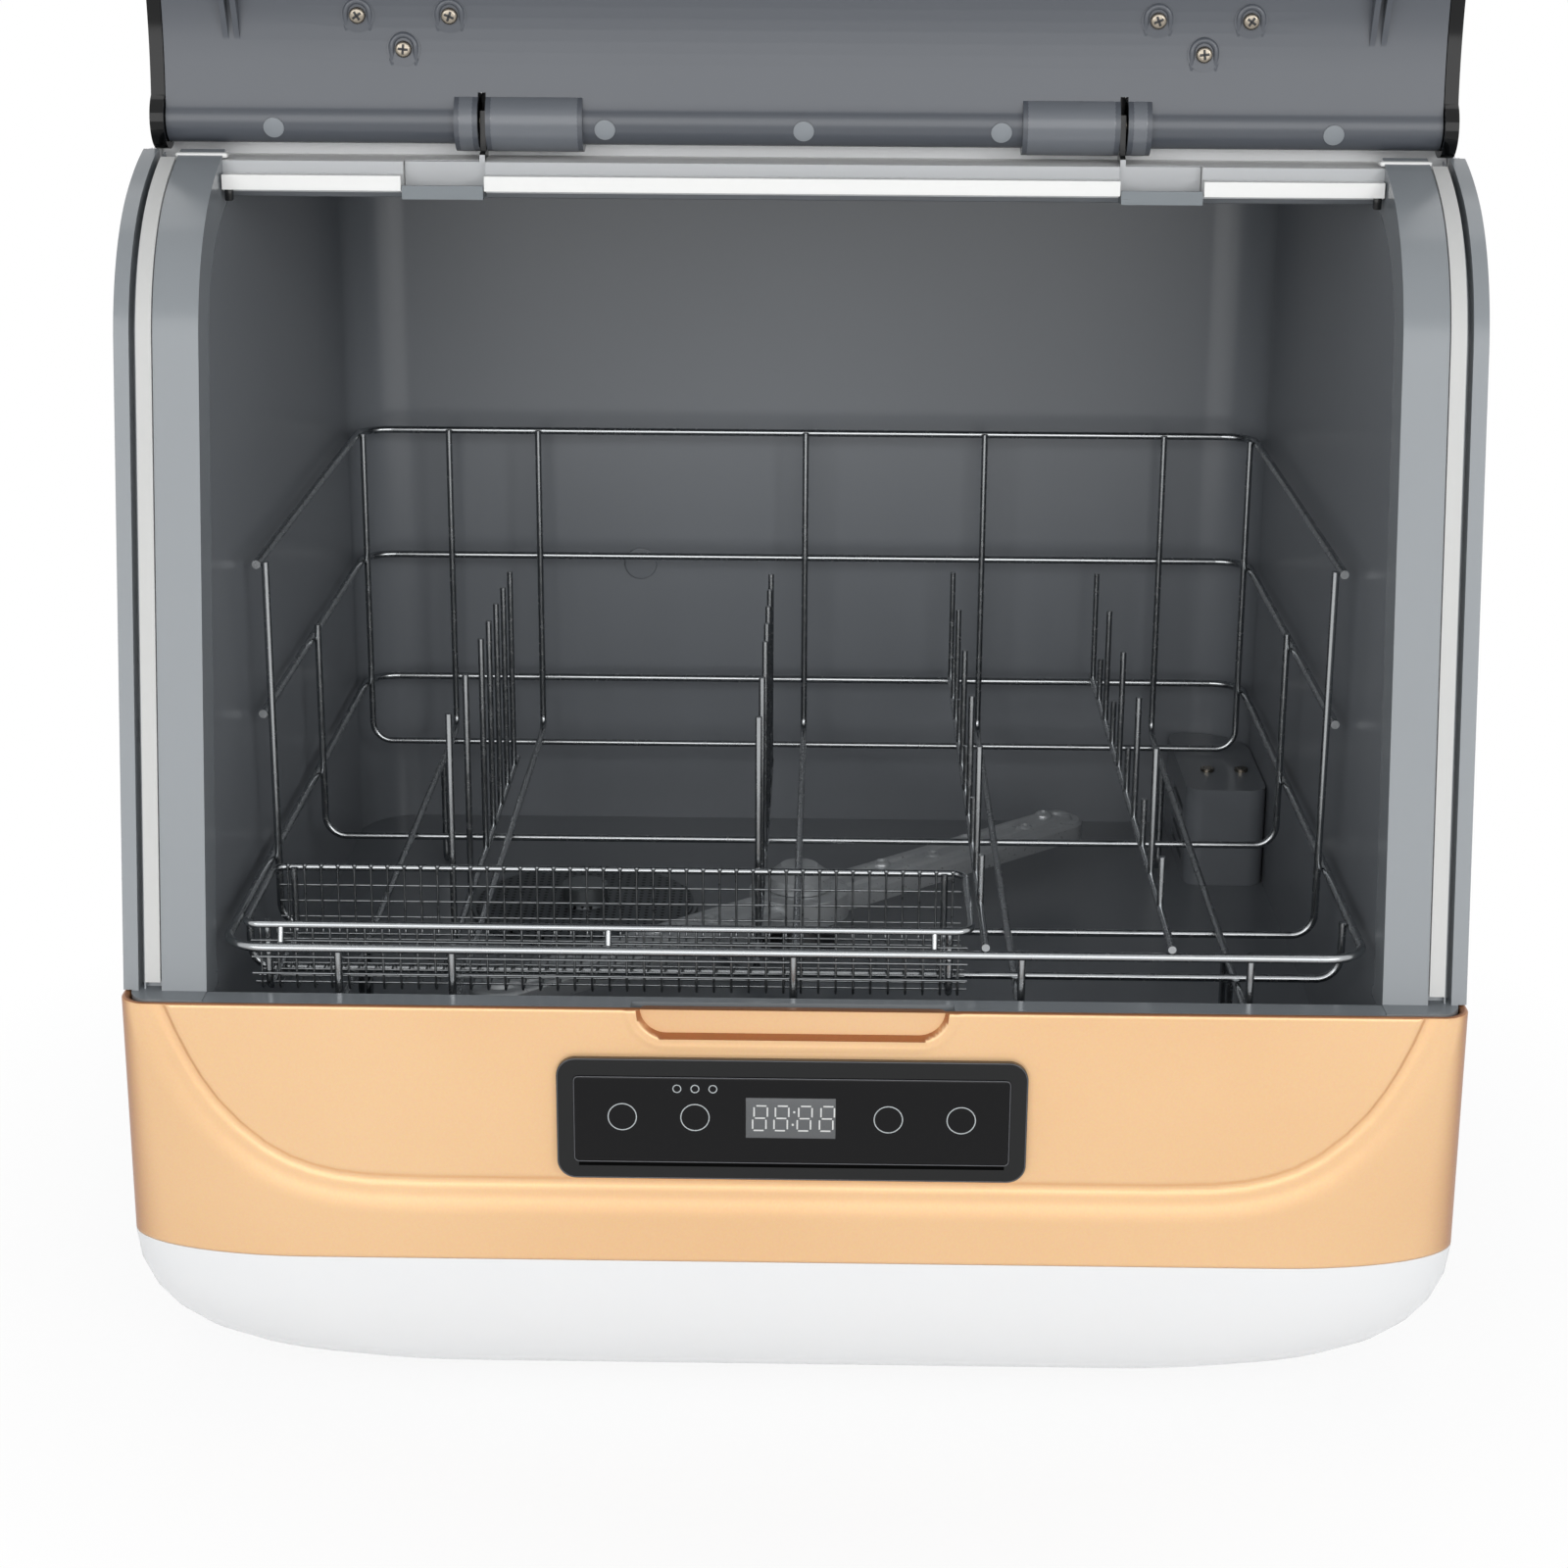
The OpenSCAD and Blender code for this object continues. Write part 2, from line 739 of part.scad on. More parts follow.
module lid_inner() color("slategray") place() lid_open() {
    difference() {
        union() {
            along_x(-lid_x1, lid_x1)
                polygon(band_pts(1, 1 + skin, lid_low));
            along_x(-lid_x1, lid_x1)
                polygon([line_3 + out(top_end), line_3 + out(top_end) + 5 * dir(top_end),
                    line_3 + (1 + skin) * out(top_end) + 5 * dir(top_end), line_3 + (1 + skin) * out(top_end)]);
            axis_rod(roll_r, -lid_x1, lid_x1);
            mirrored_x()
                axis_rod(knuckle_r, knuckle_in, knuckle_out);
            mirrored_x()
                for (x = [184.6, 188.3])
                    along_x(x - 0.9, x + 0.9)
                        polygon(concat(
                            [for (h = [26:5:66]) panel_point(h, 1.6)],
                            [for (h = [66:-5:31]) panel_point(h, 1 - (h - 26) * 0.35)]));
            for (side = [-1, 1], p = screw_places)
                lid_boss(side * p[0], p[1], 5.5, 6.2);
        }
        axis_rod(roll_r - 3.4, -lid_x1 - 1, -knuckle_out - 3);
        axis_rod(roll_r - 3.4, -knuckle_in + 3, knuckle_in - 3);
        axis_rod(roll_r - 3.4, knuckle_out + 3, lid_x1 + 1);
        mirrored_x()
            axis_rod(pin_d / 2 + run_fit, knuckle_in + 2, knuckle_out - 0.6);
        mirrored_x()
            lid_slot();
        for (side = [-1, 1], p = screw_places)
            lid_boss(side * p[0], p[1], 2, 40);
    }
}

// the lid's slope, and a place at the offset off from its edge line, h from the hinge along the lid
function panel_slope(h) =
    let (a = top_end + (h - 9) / top_r * 180 / PI)
        a > top_bend ? top_bend + (a - top_bend) * top_r / front_r : a;
function panel_point(h, off) =
    let (b = panel_slope(h))
        b > top_bend ? bend_1 + (front_r + off) * out(b) : bend_2 + (top_r + off) * out(b);

// a frame on the inner panel, h from the hinge along the lid, with Z through the panel
module on_panel(x, h) {
    q = panel_point(h, 1);
    translate([x, q[0], q[1]])
        rotate([panel_slope(h), 0, 0])
            children();
}

module lid_boss(x, h, r, t) {
    on_panel(x, h)
        translate([0, 0, -0.4])
            cylinder(h = t, r = r);
}

module lid_screws() color("silver") place() lid_open() {
    for (side = [-1, 1], p = screw_places)
        on_panel(side * p[0], p[1]) {
            translate([0, 0, -2.1])
                cylinder(h = 1.6, r = 2.7);
            translate([0, 0, -0.6])
                cylinder(h = 5, r = 1.9);
        }
}

module lid_switch() color("dimgray") place() {
    block(150, 170, 3.4, 8.8, -17, -4.2);
}

// ================= tub =================

module tub_plan(inset, y0) {
    difference() {
        rounded_rect(-tub_w / 2 - inset, tub_w / 2 + inset, y0 - inset - 60, tub_back + inset, tub_r + inset);
        translate([-tub_w, y0 - inset - 200])
            square([2 * tub_w, 200]);
    }
}

module tub_prism(inset, y0, z0, z1) {
    translate([0, 0, z0])
        linear_extrude(height = z1 - z0)
            tub_plan(inset, y0);
}

module tub() color("#44494d") place() {
    difference() {
        union() {
            intersection() {
                tub_prism(tub_t, tub_y0, step_z - tub_t, tub_top + tub_t);
                along_x(-tub_w, tub_w)
                    polygon(concat(
                        [[0, -60], [0, -4.3], [ledge_d + frame_d + 2.5, -4.3], [ledge_d + frame_d + 2.5, 0.4]],
                        line_pts(-frame_d - 0.3, 0.4),
                        [[line_3[0] + 5, tub_top + tub_t], [tub_back + 10, tub_top + tub_t],
                        [tub_back + 10, -60]]));
            }
            tub_prism(tub_t, step_y, tub_under, step_z);
            translate([0, centre_y, -tub_drop - eps])
                cylinder(h = 5, r = 30);
        }
        tub_prism(0, tub_y0, step_z, tub_top);
        difference() {
            tub_prism(0, step_y, -tub_drop, step_z + eps);
            translate([0, centre_y, -tub_drop - eps])
                cylinder(h = 5, r = 30);
        }
        translate([well_x, well_y, tub_under - 1])
            cylinder(h = 10, r = well_r);
        translate([0, centre_y, tub_under - 1])
            cylinder(h = 12, d = post_d + 0.2);
        translate([supply_x, tub_back - 1, 60])
            rotate([-90, 0, 0])
                cylinder(h = 6, d = 8);
    }
}

module overflow_housing() color("#3f4448") place() {
    difference() {
        translate([0, 0, -tub_drop + 0.1])
            linear_extrude(height = house_h)
                house_plan(0);
        translate([0, 0, -tub_drop - 1])
            linear_extrude(height = house_h - 1.1)
                house_plan(2.2);
        for (p = house_screws)
            translate([p[0], p[1], house_z - 5])
                cylinder(h = 10, d = 2.6);
        for (i = [0:3])
            block(house_x0 - 1, house_x0 + 5, house_y0 + 14, house_y0 + 49,
                -tub_drop + 6 + 7 * i, -tub_drop + 9 + 7 * i);
    }
}

module house_plan(inset) {
    difference() {
        rounded_rect(house_x0 + inset, house_x1 - inset, house_y0 + inset, house_y1 - inset, 7 - inset);
        difference() {
            translate([house_x1 - tub_r, house_y1 - tub_r])
                square(tub_r + 2);
            translate([house_x1 - tub_r, house_y1 - tub_r])
                circle(r = tub_r - inset);
        }
    }
}

module housing_screws() color("silver") place() {
    for (p = house_screws)
        translate([p[0], p[1], house_z + 0.15]) {
            cylinder(h = 1.2, r = 2.8);
            translate([0, 0, -4])
                cylinder(h = 4.1, d = 2.6);
        }
}

module overflow_float() color("gainsboro") place() {
    translate([house_x0 + 15, house_y1 - 32, -tub_drop + 0.2])
        difference() {
            cylinder(h = 14, r = 9);
            translate([0, 0, 3])
                cylinder(h = 20, r = 7);
        }
}

// ================= spray arm =================

arm_z0 = -35;
arm_t = 8;
arm_rib = 2;

module spray_post() color("dimgray") place() translate([0, centre_y, 0]) {
    difference() {
        union() {
            translate([0, 0, tub_under - 8])
                cylinder(h = arm_z0 + arm_t + arm_rib + 3 - tub_under + 8, d = post_d);
            translate([0, 0, -tub_drop + 5])
                cylinder(h = arm_z0 + tub_drop - 5 - 0.6, r1 = 15, r2 = 11);
        }
        translate([0, 0, tub_under - 10])
            cylinder(h = 22, d = post_d - 4);
    }
}

module spray_arm() color("#8c9194") place() translate([0, centre_y, 0]) rotate([0, 0, arm_turn]) {
    difference() {
        union() {
            translate([0, 0, arm_z0])
                linear_extrude(height = arm_t)
                    arm_plan(arm_len, arm_w);
            translate([0, 0, arm_z0 + arm_t - eps])
                linear_extrude(height = arm_rib)
                    arm_plan(arm_len - 24, arm_w - 12);
            translate([0, 0, arm_z0])
                cylinder(h = arm_t + arm_rib, r = 19);
        }
        translate([0, 0, arm_z0 - 1])
            cylinder(h = 20, d = post_d + 2 * run_fit);
        for (s = [-1, 1], u = [138, 122, 92, 70, 48])
            translate([s * u, (u > 100 ? 5 : 0) * s, arm_z0 + 3])
                cylinder(h = 20, d = 2.6);
    }
}

module arm_plan(l, w) {
    square([l - w, w], center = true);
    for (s = [-1, 1])
        translate([s * (l - w) / 2, 0])
            circle(d = w);
}

module arm_cap() color("gray") place() translate([0, centre_y, arm_z0 + arm_t + arm_rib + 0.5]) {
    difference() {
        union() {
            cylinder(h = 5, r = 12);
            translate([0, 0, 5 - eps])
                cylinder(h = 4, r1 = 12, r2 = 7);
        }
        translate([0, 0, -1])
            cylinder(h = 3.5, d = post_d + 0.2);
    }
}

// ================= filter, sump and pumps =================

module filter_cup() color("gray") place() translate([well_x, well_y, 0]) {
    difference() {
        union() {
            translate([0, 0, -tub_drop + 0.2])
                cylinder(h = 2.2, r = well_r + 5);
            translate([0, 0, -92])
                cylinder(h = 92 - tub_drop + 0.3, r = well_r - 2.5);
            translate([0, 0, -tub_drop + 2])
                cylinder(h = 9, r = 9);
        }
        difference() {
            translate([0, 0, -90])
                cylinder(h = 60, r = well_r - 4.5);
            translate([0, 0, -91])
                cylinder(h = 91 - tub_drop + 11, r = 9);
        }
        translate([0, 0, -93])
            cylinder(h = 93 - tub_drop + 8, r = 7);
        for (a = [0:20:359], z = [-84, -74, -64])
            rotate([0, 0, a])
                translate([well_r - 8, 0, z])
                    rotate([0, 90, 0])
                        cylinder(h = 10, d = 3.4, $fn = 16);
    }
}

module sump() color("dimgray") place() {
    difference() {
        translate([well_x, well_y, sump_low])
            cylinder(h = tub_under - sump_low - 0.1, r = sump_r);
        translate([well_x, well_y, sump_low + 3])
            cylinder(h = 80, r = sump_r - 3);
        translate([well_x, pump_y, pump_z])
            rotate([0, 90, 0])
                cylinder(h = 60, d = 16);
        translate([well_x, well_y, pump_z])
            rotate([-90, 0, 0])
                cylinder(h = 60, d = 16);
    }
}

module heater_disc() color("silver") place() translate([well_x, well_y, sump_low - 3.2]) {
    cylinder(h = 3, r = 36);
    for (x = [-12, 12])
        translate([x, 0, -6])
            cylinder(h = 6.1, d = 6);
}

module pump_volute() color("gray") place() {
    difference() {
        union() {
            translate([-volute_w / 2, pump_y, pump_z])
                rotate([0, 90, 0])
                    cylinder(h = volute_w, r = volute_r);
            translate([0, centre_y, pump_z])
                cylinder(h = tub_under - pump_z - 0.2, d = post_d + 5);
        }
        translate([-volute_w / 2 + 2.5, pump_y, pump_z])
            rotate([0, 90, 0])
                cylinder(h = volute_w - 5, r = volute_r - 3);
        translate([0, centre_y, pump_z])
            cylinder(h = 30, d = post_d - 4);
        translate([0, centre_y, tub_under - 8.3])
            cylinder(h = 20, d = post_d + 0.2);
        translate([-volute_w, pump_y, pump_z])
            rotate([0, 90, 0])
                cylinder(h = volute_w, d = 16);
        translate([0, pump_y, pump_z])
            rotate([0, 90, 0])
                cylinder(h = volute_w, d = shaft_d + 2 * run_fit);
    }
}

module wash_impeller() color("white") place() translate([0, pump_y, pump_z]) rotate([0, 90, 0]) {
    difference() {
        union() {
            translate([0, 0, -volute_w / 2 + 4.5])
                cylinder(h = 3, r = 22);
            for (a = [0:60:359])
                rotate([0, 0, a])
                    translate([5, -1, -volute_w / 2 + 7.4])
                        cube([16, 2, 6]);
            translate([0, 0, -volute_w / 2 + 4.5])
                cylinder(h = 10, r = 6);
            cylinder(h = motor_l - 4, d = shaft_d);
        }
        translate([0, 0, -volute_w / 2 + 3])
            cylinder(h = 4, r = 3);
    }
}

module wash_motor() color("darkslategray") place() translate([volute_w / 2 + 0.1, pump_y, pump_z]) {
    difference() {
        union() {
            rotate([0, 90, 0])
                cylinder(h = motor_l, r = motor_r);
            for (x = [10, motor_l - 22])
                block(x, x + 12, -motor_r + 4, motor_r - 4, base_in + 0.2 - pump_z, -motor_r + 8);
        }
        translate([-1, 0, 0])
            rotate([0, 90, 0])
                cylinder(h = motor_l - 6, d = shaft_d + 2 * run_fit);
    }
}

module pump_inlet_pipe() color("black") place() {
    x0 = well_x + sqrt(pow(sump_r, 2) - pow(well_y - pump_y, 2)) - 0.6;
    difference() {
        translate([x0 + 2.6, pump_y, pump_z])
            rotate([0, 90, 0])
                cylinder(h = -volute_w / 2 - 0.2 - x0 - 2.6, d = 22);
        translate([x0 - 1, pump_y, pump_z])
            rotate([0, 90, 0])
                cylinder(h = 80, d = 16);
        translate([well_x, well_y, sump_low])
            cylinder(h = 60, r = sump_r + 0.2);
    }
}

module drain_pump() color("darkslategray") place() translate([well_x, drain_y0 + 0.6, pump_z]) {
    difference() {
        union() {
            rotate([-90, 0, 0])
                cylinder(h = 15, r = 21);
            translate([0, 14.5, 0])
                rotate([-90, 0, 0])
                    cylinder(h = drain_l - 14.5, r = 16.5);
            translate([-44, 7, 12])
                rotate([0, 90, 0])
                    cylinder(h = 40, d = 11);
            block(-12, 12, 2, 12, base_in + 0.2 - pump_z, -18);
        }
        translate([0, -1, 0])
            rotate([-90, 0, 0])
                cylinder(h = 3.5, d = 16);
        translate([0, 2, 0])
            rotate([-90, 0, 0])
                cylinder(h = 10.4, r = 17.4);
        translate([0, 2, 0])
            rotate([-90, 0, 0])
                cylinder(h = drain_l - 8, d = 4 + 2 * run_fit);
        translate([-45, 7, 12])
            rotate([0, 90, 0])
                cylinder(h = 40, d = 8);
    }
}

module drain_rotor() color("white") place() translate([well_x, drain_y0 + 0.6, pump_z]) rotate([-90, 0, 0]) {
    translate([0, 0, 7.4])
        cylinder(h = 2, r = 11);
    for (a = [0:90:359])
        rotate([0, 0, a])
            translate([1, -0.9, 3.6])
                cube([12, 1.8, 4]);
    translate([0, 0, 3.6])
        cylinder(h = drain_l - 12, d = 4);
}

// a hose through the points pts, with the outer diameter d
module hose(pts, r, d) {
    difference() {
        bent_wire(pts, r, d);
        bent_wire(pts, r, d - 4);
    }
}

hose_y = drain_y0 + 7.6;
hose_z = pump_z + 12;

module drain_hose() color("black") place() {
    hose([
        [well_x - 44.3, hose_y, hose_z], [outlet_x, hose_y, hose_z],
        [outlet_x, hose_y, outlet_z], [outlet_x, body_d - 16.3, outlet_z]], 8.5, 14);
}

module drain_connector() color("dimgray") place() translate([outlet_x, body_d, outlet_z]) rotate([90, 0, 0]) {
    difference() {
        union() {
            translate([0, 0, -18])
                cylinder(h = 20, r = 9);
            translate([0, 0, -3])
                cylinder(h = 3, r = 15);
            translate([0, 0, -eps])
                cylinder(h = 16, d = 25);
        }
        translate([0, 0, -19])
            cylinder(h = 40, d = 12);
    }
}

module inlet_connector() color("dimgray") place() translate([supply_x, body_d, supply_z]) rotate([90, 0, 0]) {
    difference() {
        union() {
            translate([0, 0, -inlet_reach])
                cylinder(h = inlet_reach + 2, d = 26);
            translate([0, 0, -3])
                cylinder(h = 3, r = 19);
            translate([0, 0, -eps])
                cylinder(h = 6, d = 31);
        }
        translate([0, 0, -inlet_reach - 1])
            cylinder(h = 40, d = 14);
    }
}

module inlet_valve() color("white") place() translate([supply_x, body_d - 6.2, supply_z]) {
    difference() {
        union() {
            rotate([90, 0, 0])
                cylinder(h = 30, d = 24);
            block(-14, 14, -30, -6, 8, 44);
            translate([0, -18, 20])
                cylinder(h = 40, d = 13);
        }
        translate([0, 1, 0])
            rotate([90, 0, 0])
                cylinder(h = 20, d = 14);
    }
}

module inlet_hose() color("black") place() {
    hose([
        [supply_x, body_d - 24.2, supply_z + 60.3], [supply_x, body_d - 24.2, 60],
        [supply_x, tub_back + tub_t + 0.3, 60]], 12, 12);
}

module fan_housing() color("dimgray") place() translate([0, rear_in - fan_t - 0.1, fan_z]) {
    difference() {
        block(-fan_w / 2, fan_w / 2, 0, fan_t, -fan_w / 2, fan_w / 2);
        translate([0, 3, 0])
            rotate([-90, 0, 0])
                cylinder(h = fan_t, r = fan_w / 2 - 4);
        translate([0, -1, 0])
            rotate([-90, 0, 0])
                cylinder(h = fan_t, r = 2 + run_fit);
        for (a = [0:45:359])
            rotate([0, a, 0])
                translate([26, -1, 0])
                    rotate([-90, 0, 0])
                        cylinder(h = 6, r = 8);
        for (x = [-1, 1], z = [-1, 1])
            translate([x * (fan_w / 2 - 5), -1, z * (fan_w / 2 - 5)])
                rotate([-90, 0, 0])
                    cylinder(h = fan_t + 2, d = 4);
    }
}

module fan_rotor() color("black") place() translate([0, rear_in - fan_t + 3.6, fan_z]) rotate([-90, 0, 0]) {
    cylinder(h = 14, r = 12);
    for (a = [0:40:359])
        rotate([0, 0, a])
            translate([11, 0, 2])
                rotate([40, 0, 0])
                    translate([0, -1, -1])
                        cube([22, 2, 12]);
    translate([0, 0, -3.2])
        cylinder(h = 4, r = 2);
}

board_w = 60;
board_l = 90;

module power_board() color("darkgreen") place() {
    board_z = base_in + 6;
    translate([half_w - 125, body_d - 165, 0])
        difference() {
            union() {
                block(0, board_w, 0, board_l, board_z, board_z + 1.6);
                for (x = [6, board_w - 6], y = [6, board_l - 6])
                    translate([x, y, base_in + 0.2])
                        cylinder(h = board_z - base_in - 0.1, d = 7);
                block(6, 30, 12, 42, board_z + 1.5, board_z + 24);
                block(36, 54, 14, 50, board_z + 1.5, board_z + 18);
                translate([16, 66, board_z + 1.5])
                    cylinder(h = 25, d = 18);
            }
            translate([board_w - 6, 6, board_z - 2])
                cylinder(h = 6, d = 3);
        }
}

module cord_inlet() color("black") place() translate([cord_x, body_d, cord_z]) rotate([90, 0, 0]) {
    difference() {
        union() {
            translate([0, 0, -10.1])
                cylinder(h = 10, r1 = 7, r2 = 12);
            translate([0, 0, -0.2])
                cylinder(h = 8, d = 18);
        }
        translate([0, 0, -11])
            cylinder(h = 30, d = 7.4);
    }
}

// ================= rack =================

module open_rail(z) {
    bent_wire([
        [-rack_half, front_cradle_y - 1, z], [-rack_half, rack_y1, z],
        [rack_half, rack_y1, z], [rack_half, front_cradle_y - 1, z]], 13, rail_d);
}

module rack_rails() color("silver") place() {
    bent_wire([
        [-rack_half, rack_y0, low_rail], [-rack_half, rack_y1, low_rail],
        [rack_half, rack_y1, low_rail], [rack_half, rack_y0, low_rail]], 13, rail_d, true);
    open_rail(mid_rail);
    open_rail(high_rail);
}

// five wires that run down the rear, along the floor and up to the front bar
module rack_ribs() color("silver") place() {
    for (x = rib_x)
        bent_wire([
            [x, inner_y0, low_rail + 0.5], [x, inner_y0, floor_z],
            [x, inner_y1, floor_z], [x, inner_y1, high_rail + 0.5]], 6, wire_d);
}

module cradle(y, low, top) {
    bent_wire([[-inner_x, y, top], [-inner_x, y, low], [inner_x, y, low], [inner_x, y, top]], 8, wire_d);
}

// U-shaped wires across the rack, and the four small loops that stand on the tub floor
module rack_cradles() color("silver") place() {
    cradle(rear_cradle_y, cradle_z, high_rail + 0.8);
    cradle(mid_cradle_y, cradle_z, mid_rail + 6);
    cradle(front_cradle_y, cradle_z, high_rail + 0.8);
    cradle(low_cradle_y, floor_z + wire_d - weld, low_rail + 1);
    foot_top = floor_z - wire_d / 2 + weld;
    foot_low = -tub_drop + 0.2 + wire_d / 2;
    for (x = [-148, 148], y = [72, 300])
        bent_wire([
            [x, y - 8, foot_top], [x, y - 8, foot_low],
            [x, y + 8, foot_low], [x, y + 8, foot_top]], 5, wire_d);
}

// a base wire along y with upright tines
module tall_row(x) {
    z = floor_z;
    rod([x, 60, z], [x, last_tine_y + 13, z], wire_d);
    for (y = concat([for (i = [0:4]) last_tine_y - tine_pitch * i], [130, 81]))
        rod([x, y, z], [x, y, z + tine_h], tine_d);
}

module short_row(x) {
    z = low_rail + (rail_d + wire_d) / 2 + 0.1;
    rod([x, rack_y0 - 0.8, z], [x, rack_y1 + 1, z], wire_d);
    for (i = [0:4]) {
        y = rack_y1 - 7 - pair_pitch * i;
        rod([x, y, z], [x, y, z + pair_tall], tine_d);
        rod([x, y - pair_gap, z], [x, y - pair_gap, z + pair_low], tine_d);
    }
}

module tine_row_left() color("silver") place() tall_row(left_row_x);

module tine_row_middle() color("silver") place() tall_row(low_bar_x);

module tine_row_right() color("silver") place() short_row(right_row_x);

module tine_row_outer() color("silver") place() short_row(outer_row_x);

module basket_frame() color("silver") place() {
    bent_wire([
        [bask_x0, bask_y0, bask_z1], [bask_x0, bask_y1, bask_z1],
        [bask_x1, bask_y1, bask_z1], [bask_x1, bask_y0, bask_z1]], 5, bask_d, true);
    for (x = [bask_x0 + 7, bask_x1 - 7])
        bent_wire([
            [x, bask_y0 + 3.4, bask_z1 + 0.4], [x, bask_y0 + 3.4, bask_z0 + 1.2],
            [x, bask_y1 - 2, bask_z0 + 1.2], [x, bask_y1 - 2, bask_z1 + 0.4]], 3.5, bask_d);
    for (x = [bask_x0 + 12, -60, bask_x1 - 12])
        rod([x, bask_y0, bask_z1 - 0.3], [x, rack_y0 + 2, low_rail + rail_d / 2 - 0.25], bask_d - 0.4);
}

mesh_nx = 24;
mesh_ny = 6;

module basket_mesh() color("silver") place() {
    x0 = bask_x0 + 11;
    x1 = bask_x1 - 11;
    y0 = bask_y0 + 8;
    y1 = bask_y1 - 4;
    z0 = bask_z0 + 1.2;
    step = (x1 - x0) / mesh_nx;
    for (i = [0:mesh_nx])
        block(x0 + step * i - mesh_d / 2, x0 + step * i + mesh_d / 2, y0, y1, z0 - 0.6, z0 + 0.6);
    for (j = [0:mesh_ny])
        block(x0 - 2.6, x1 + 2.6, y0 + (y1 - y0) * j / mesh_ny - mesh_d / 2,
            y0 + (y1 - y0) * j / mesh_ny + mesh_d / 2, z0 - 0.6, z0 + 0.6);
    for (i = [0:mesh_nx])
        block(x0 + step * i - mesh_d / 2, x0 + step * i + mesh_d / 2, y1 - 0.6, y1 + 0.6, z0, bask_z1 - 2);
    for (z = [z0 + 5.5, z0 + 11, bask_z1 - 2.6])
        block(x0 - 2.6, x1 + 2.6, y1 - 0.6, y1 + 0.6, z - 0.6, z + 0.6);
}

base_shell();
feet();
base_screws();
front_band();
control_bezel();
control_panel();
display_module();
control_board();
side_panel_left();
side_panel_right();
top_cover();
rear_cover();
rear_screws();
door_frame();
seal_left();
seal_right();
top_seal_bar();
hinge_bracket_left();
hinge_bracket_right();
hinge_pin_left();
hinge_pin_right();
lid_outer();
lid_inner();
lid_screws();
lid_switch();
tub();
overflow_housing();
housing_screws();
overflow_float();
spray_post();
spray_arm();
arm_cap();
filter_cup();
sump();
heater_disc();
pump_volute();
wash_motor();
wash_impeller();
pump_inlet_pipe();
drain_pump();
drain_rotor();
drain_hose();
drain_connector();
inlet_connector();
inlet_valve();
inlet_hose();
fan_housing();
fan_rotor();
power_board();
cord_inlet();
rack_rails();
rack_ribs();
rack_cradles();
tine_row_left();
tine_row_middle();
tine_row_right();
tine_row_outer();
basket_frame();
basket_mesh();
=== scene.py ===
import bpy
import json
import math
from mathutils import Matrix, Vector


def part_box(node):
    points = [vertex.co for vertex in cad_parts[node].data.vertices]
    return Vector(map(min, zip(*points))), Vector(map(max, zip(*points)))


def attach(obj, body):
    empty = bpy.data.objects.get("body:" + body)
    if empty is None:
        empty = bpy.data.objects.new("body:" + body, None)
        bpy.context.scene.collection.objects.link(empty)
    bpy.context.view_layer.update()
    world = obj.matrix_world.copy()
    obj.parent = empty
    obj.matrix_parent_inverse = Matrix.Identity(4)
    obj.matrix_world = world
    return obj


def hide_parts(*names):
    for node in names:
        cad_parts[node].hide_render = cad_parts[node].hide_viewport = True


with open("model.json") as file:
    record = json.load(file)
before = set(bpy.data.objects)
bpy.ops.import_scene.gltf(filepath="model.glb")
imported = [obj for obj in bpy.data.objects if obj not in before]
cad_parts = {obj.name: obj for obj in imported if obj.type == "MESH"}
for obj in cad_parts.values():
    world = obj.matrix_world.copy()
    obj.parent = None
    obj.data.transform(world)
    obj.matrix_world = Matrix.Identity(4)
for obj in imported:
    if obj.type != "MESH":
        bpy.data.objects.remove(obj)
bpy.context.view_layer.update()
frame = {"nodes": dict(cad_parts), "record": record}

# Places are written in millimetres from the band's top front edge, as in the CAD: x right, y back, z up.
FRONT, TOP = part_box("front_band")[0][1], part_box("front_band")[1][2]


def at(x, y, z):
    """A place given in millimetres from the band's edge, as a vector in metres."""
    return Vector((x / 1000, y / 1000 + FRONT, z / 1000 + TOP))


# ---------------------------------------------------------------- modelling helpers
def nothing_selected():
    """Object mode, with nothing selected."""
    if bpy.context.object and bpy.context.object.mode != "OBJECT":
        bpy.ops.object.mode_set(mode="OBJECT")
    bpy.ops.object.select_all(action="DESELECT")


def alone(obj):
    """Object mode, with this object selected and active and nothing else."""
    nothing_selected()
    obj.select_set(True)
    bpy.context.view_layer.objects.active = obj
    return obj


def add(kind, name, **options):
    """A new primitive under its own name, with everything else deselected."""
    nothing_selected()
    getattr(bpy.ops.mesh, "primitive_" + kind + "_add")(**options)
    obj = bpy.context.object
    obj.name = obj.data.name = name
    return obj


def settle(obj):
    """Puts the object's place, turn and size into its mesh."""
    alone(obj)
    bpy.ops.object.transform_apply(location=True, rotation=True, scale=True)
    return obj


def modify(obj, kind, **options):
    """Adds a modifier and applies it."""
    alone(obj)
    bpy.ops.object.modifier_add(type=kind)
    m = obj.modifiers[-1]
    for key, value in options.items():
        setattr(m, key, value)
    bpy.ops.object.modifier_apply(modifier=m.name)
    return obj


def pick(obj, test, what="FACE"):
    """Edit mode with the faces, edges or vertices selected whose centre passes the test."""
    alone(obj)
    bpy.ops.object.mode_set(mode="EDIT")
    bpy.ops.mesh.select_mode(type=what)
    bpy.ops.mesh.select_all(action="DESELECT")
    bpy.ops.object.mode_set(mode="OBJECT")
    mesh = obj.data
    if what == "FACE":
        for f in mesh.polygons:
            f.select = bool(test(f.center, f.normal))
    elif what == "VERT":
        for v in mesh.vertices:
            v.select = bool(test(v.co))
    else:
        for e in mesh.edges:
            a, b = (mesh.vertices[i].co for i in e.vertices)
            e.select = bool(test(a, b))
    bpy.ops.object.mode_set(mode="EDIT")


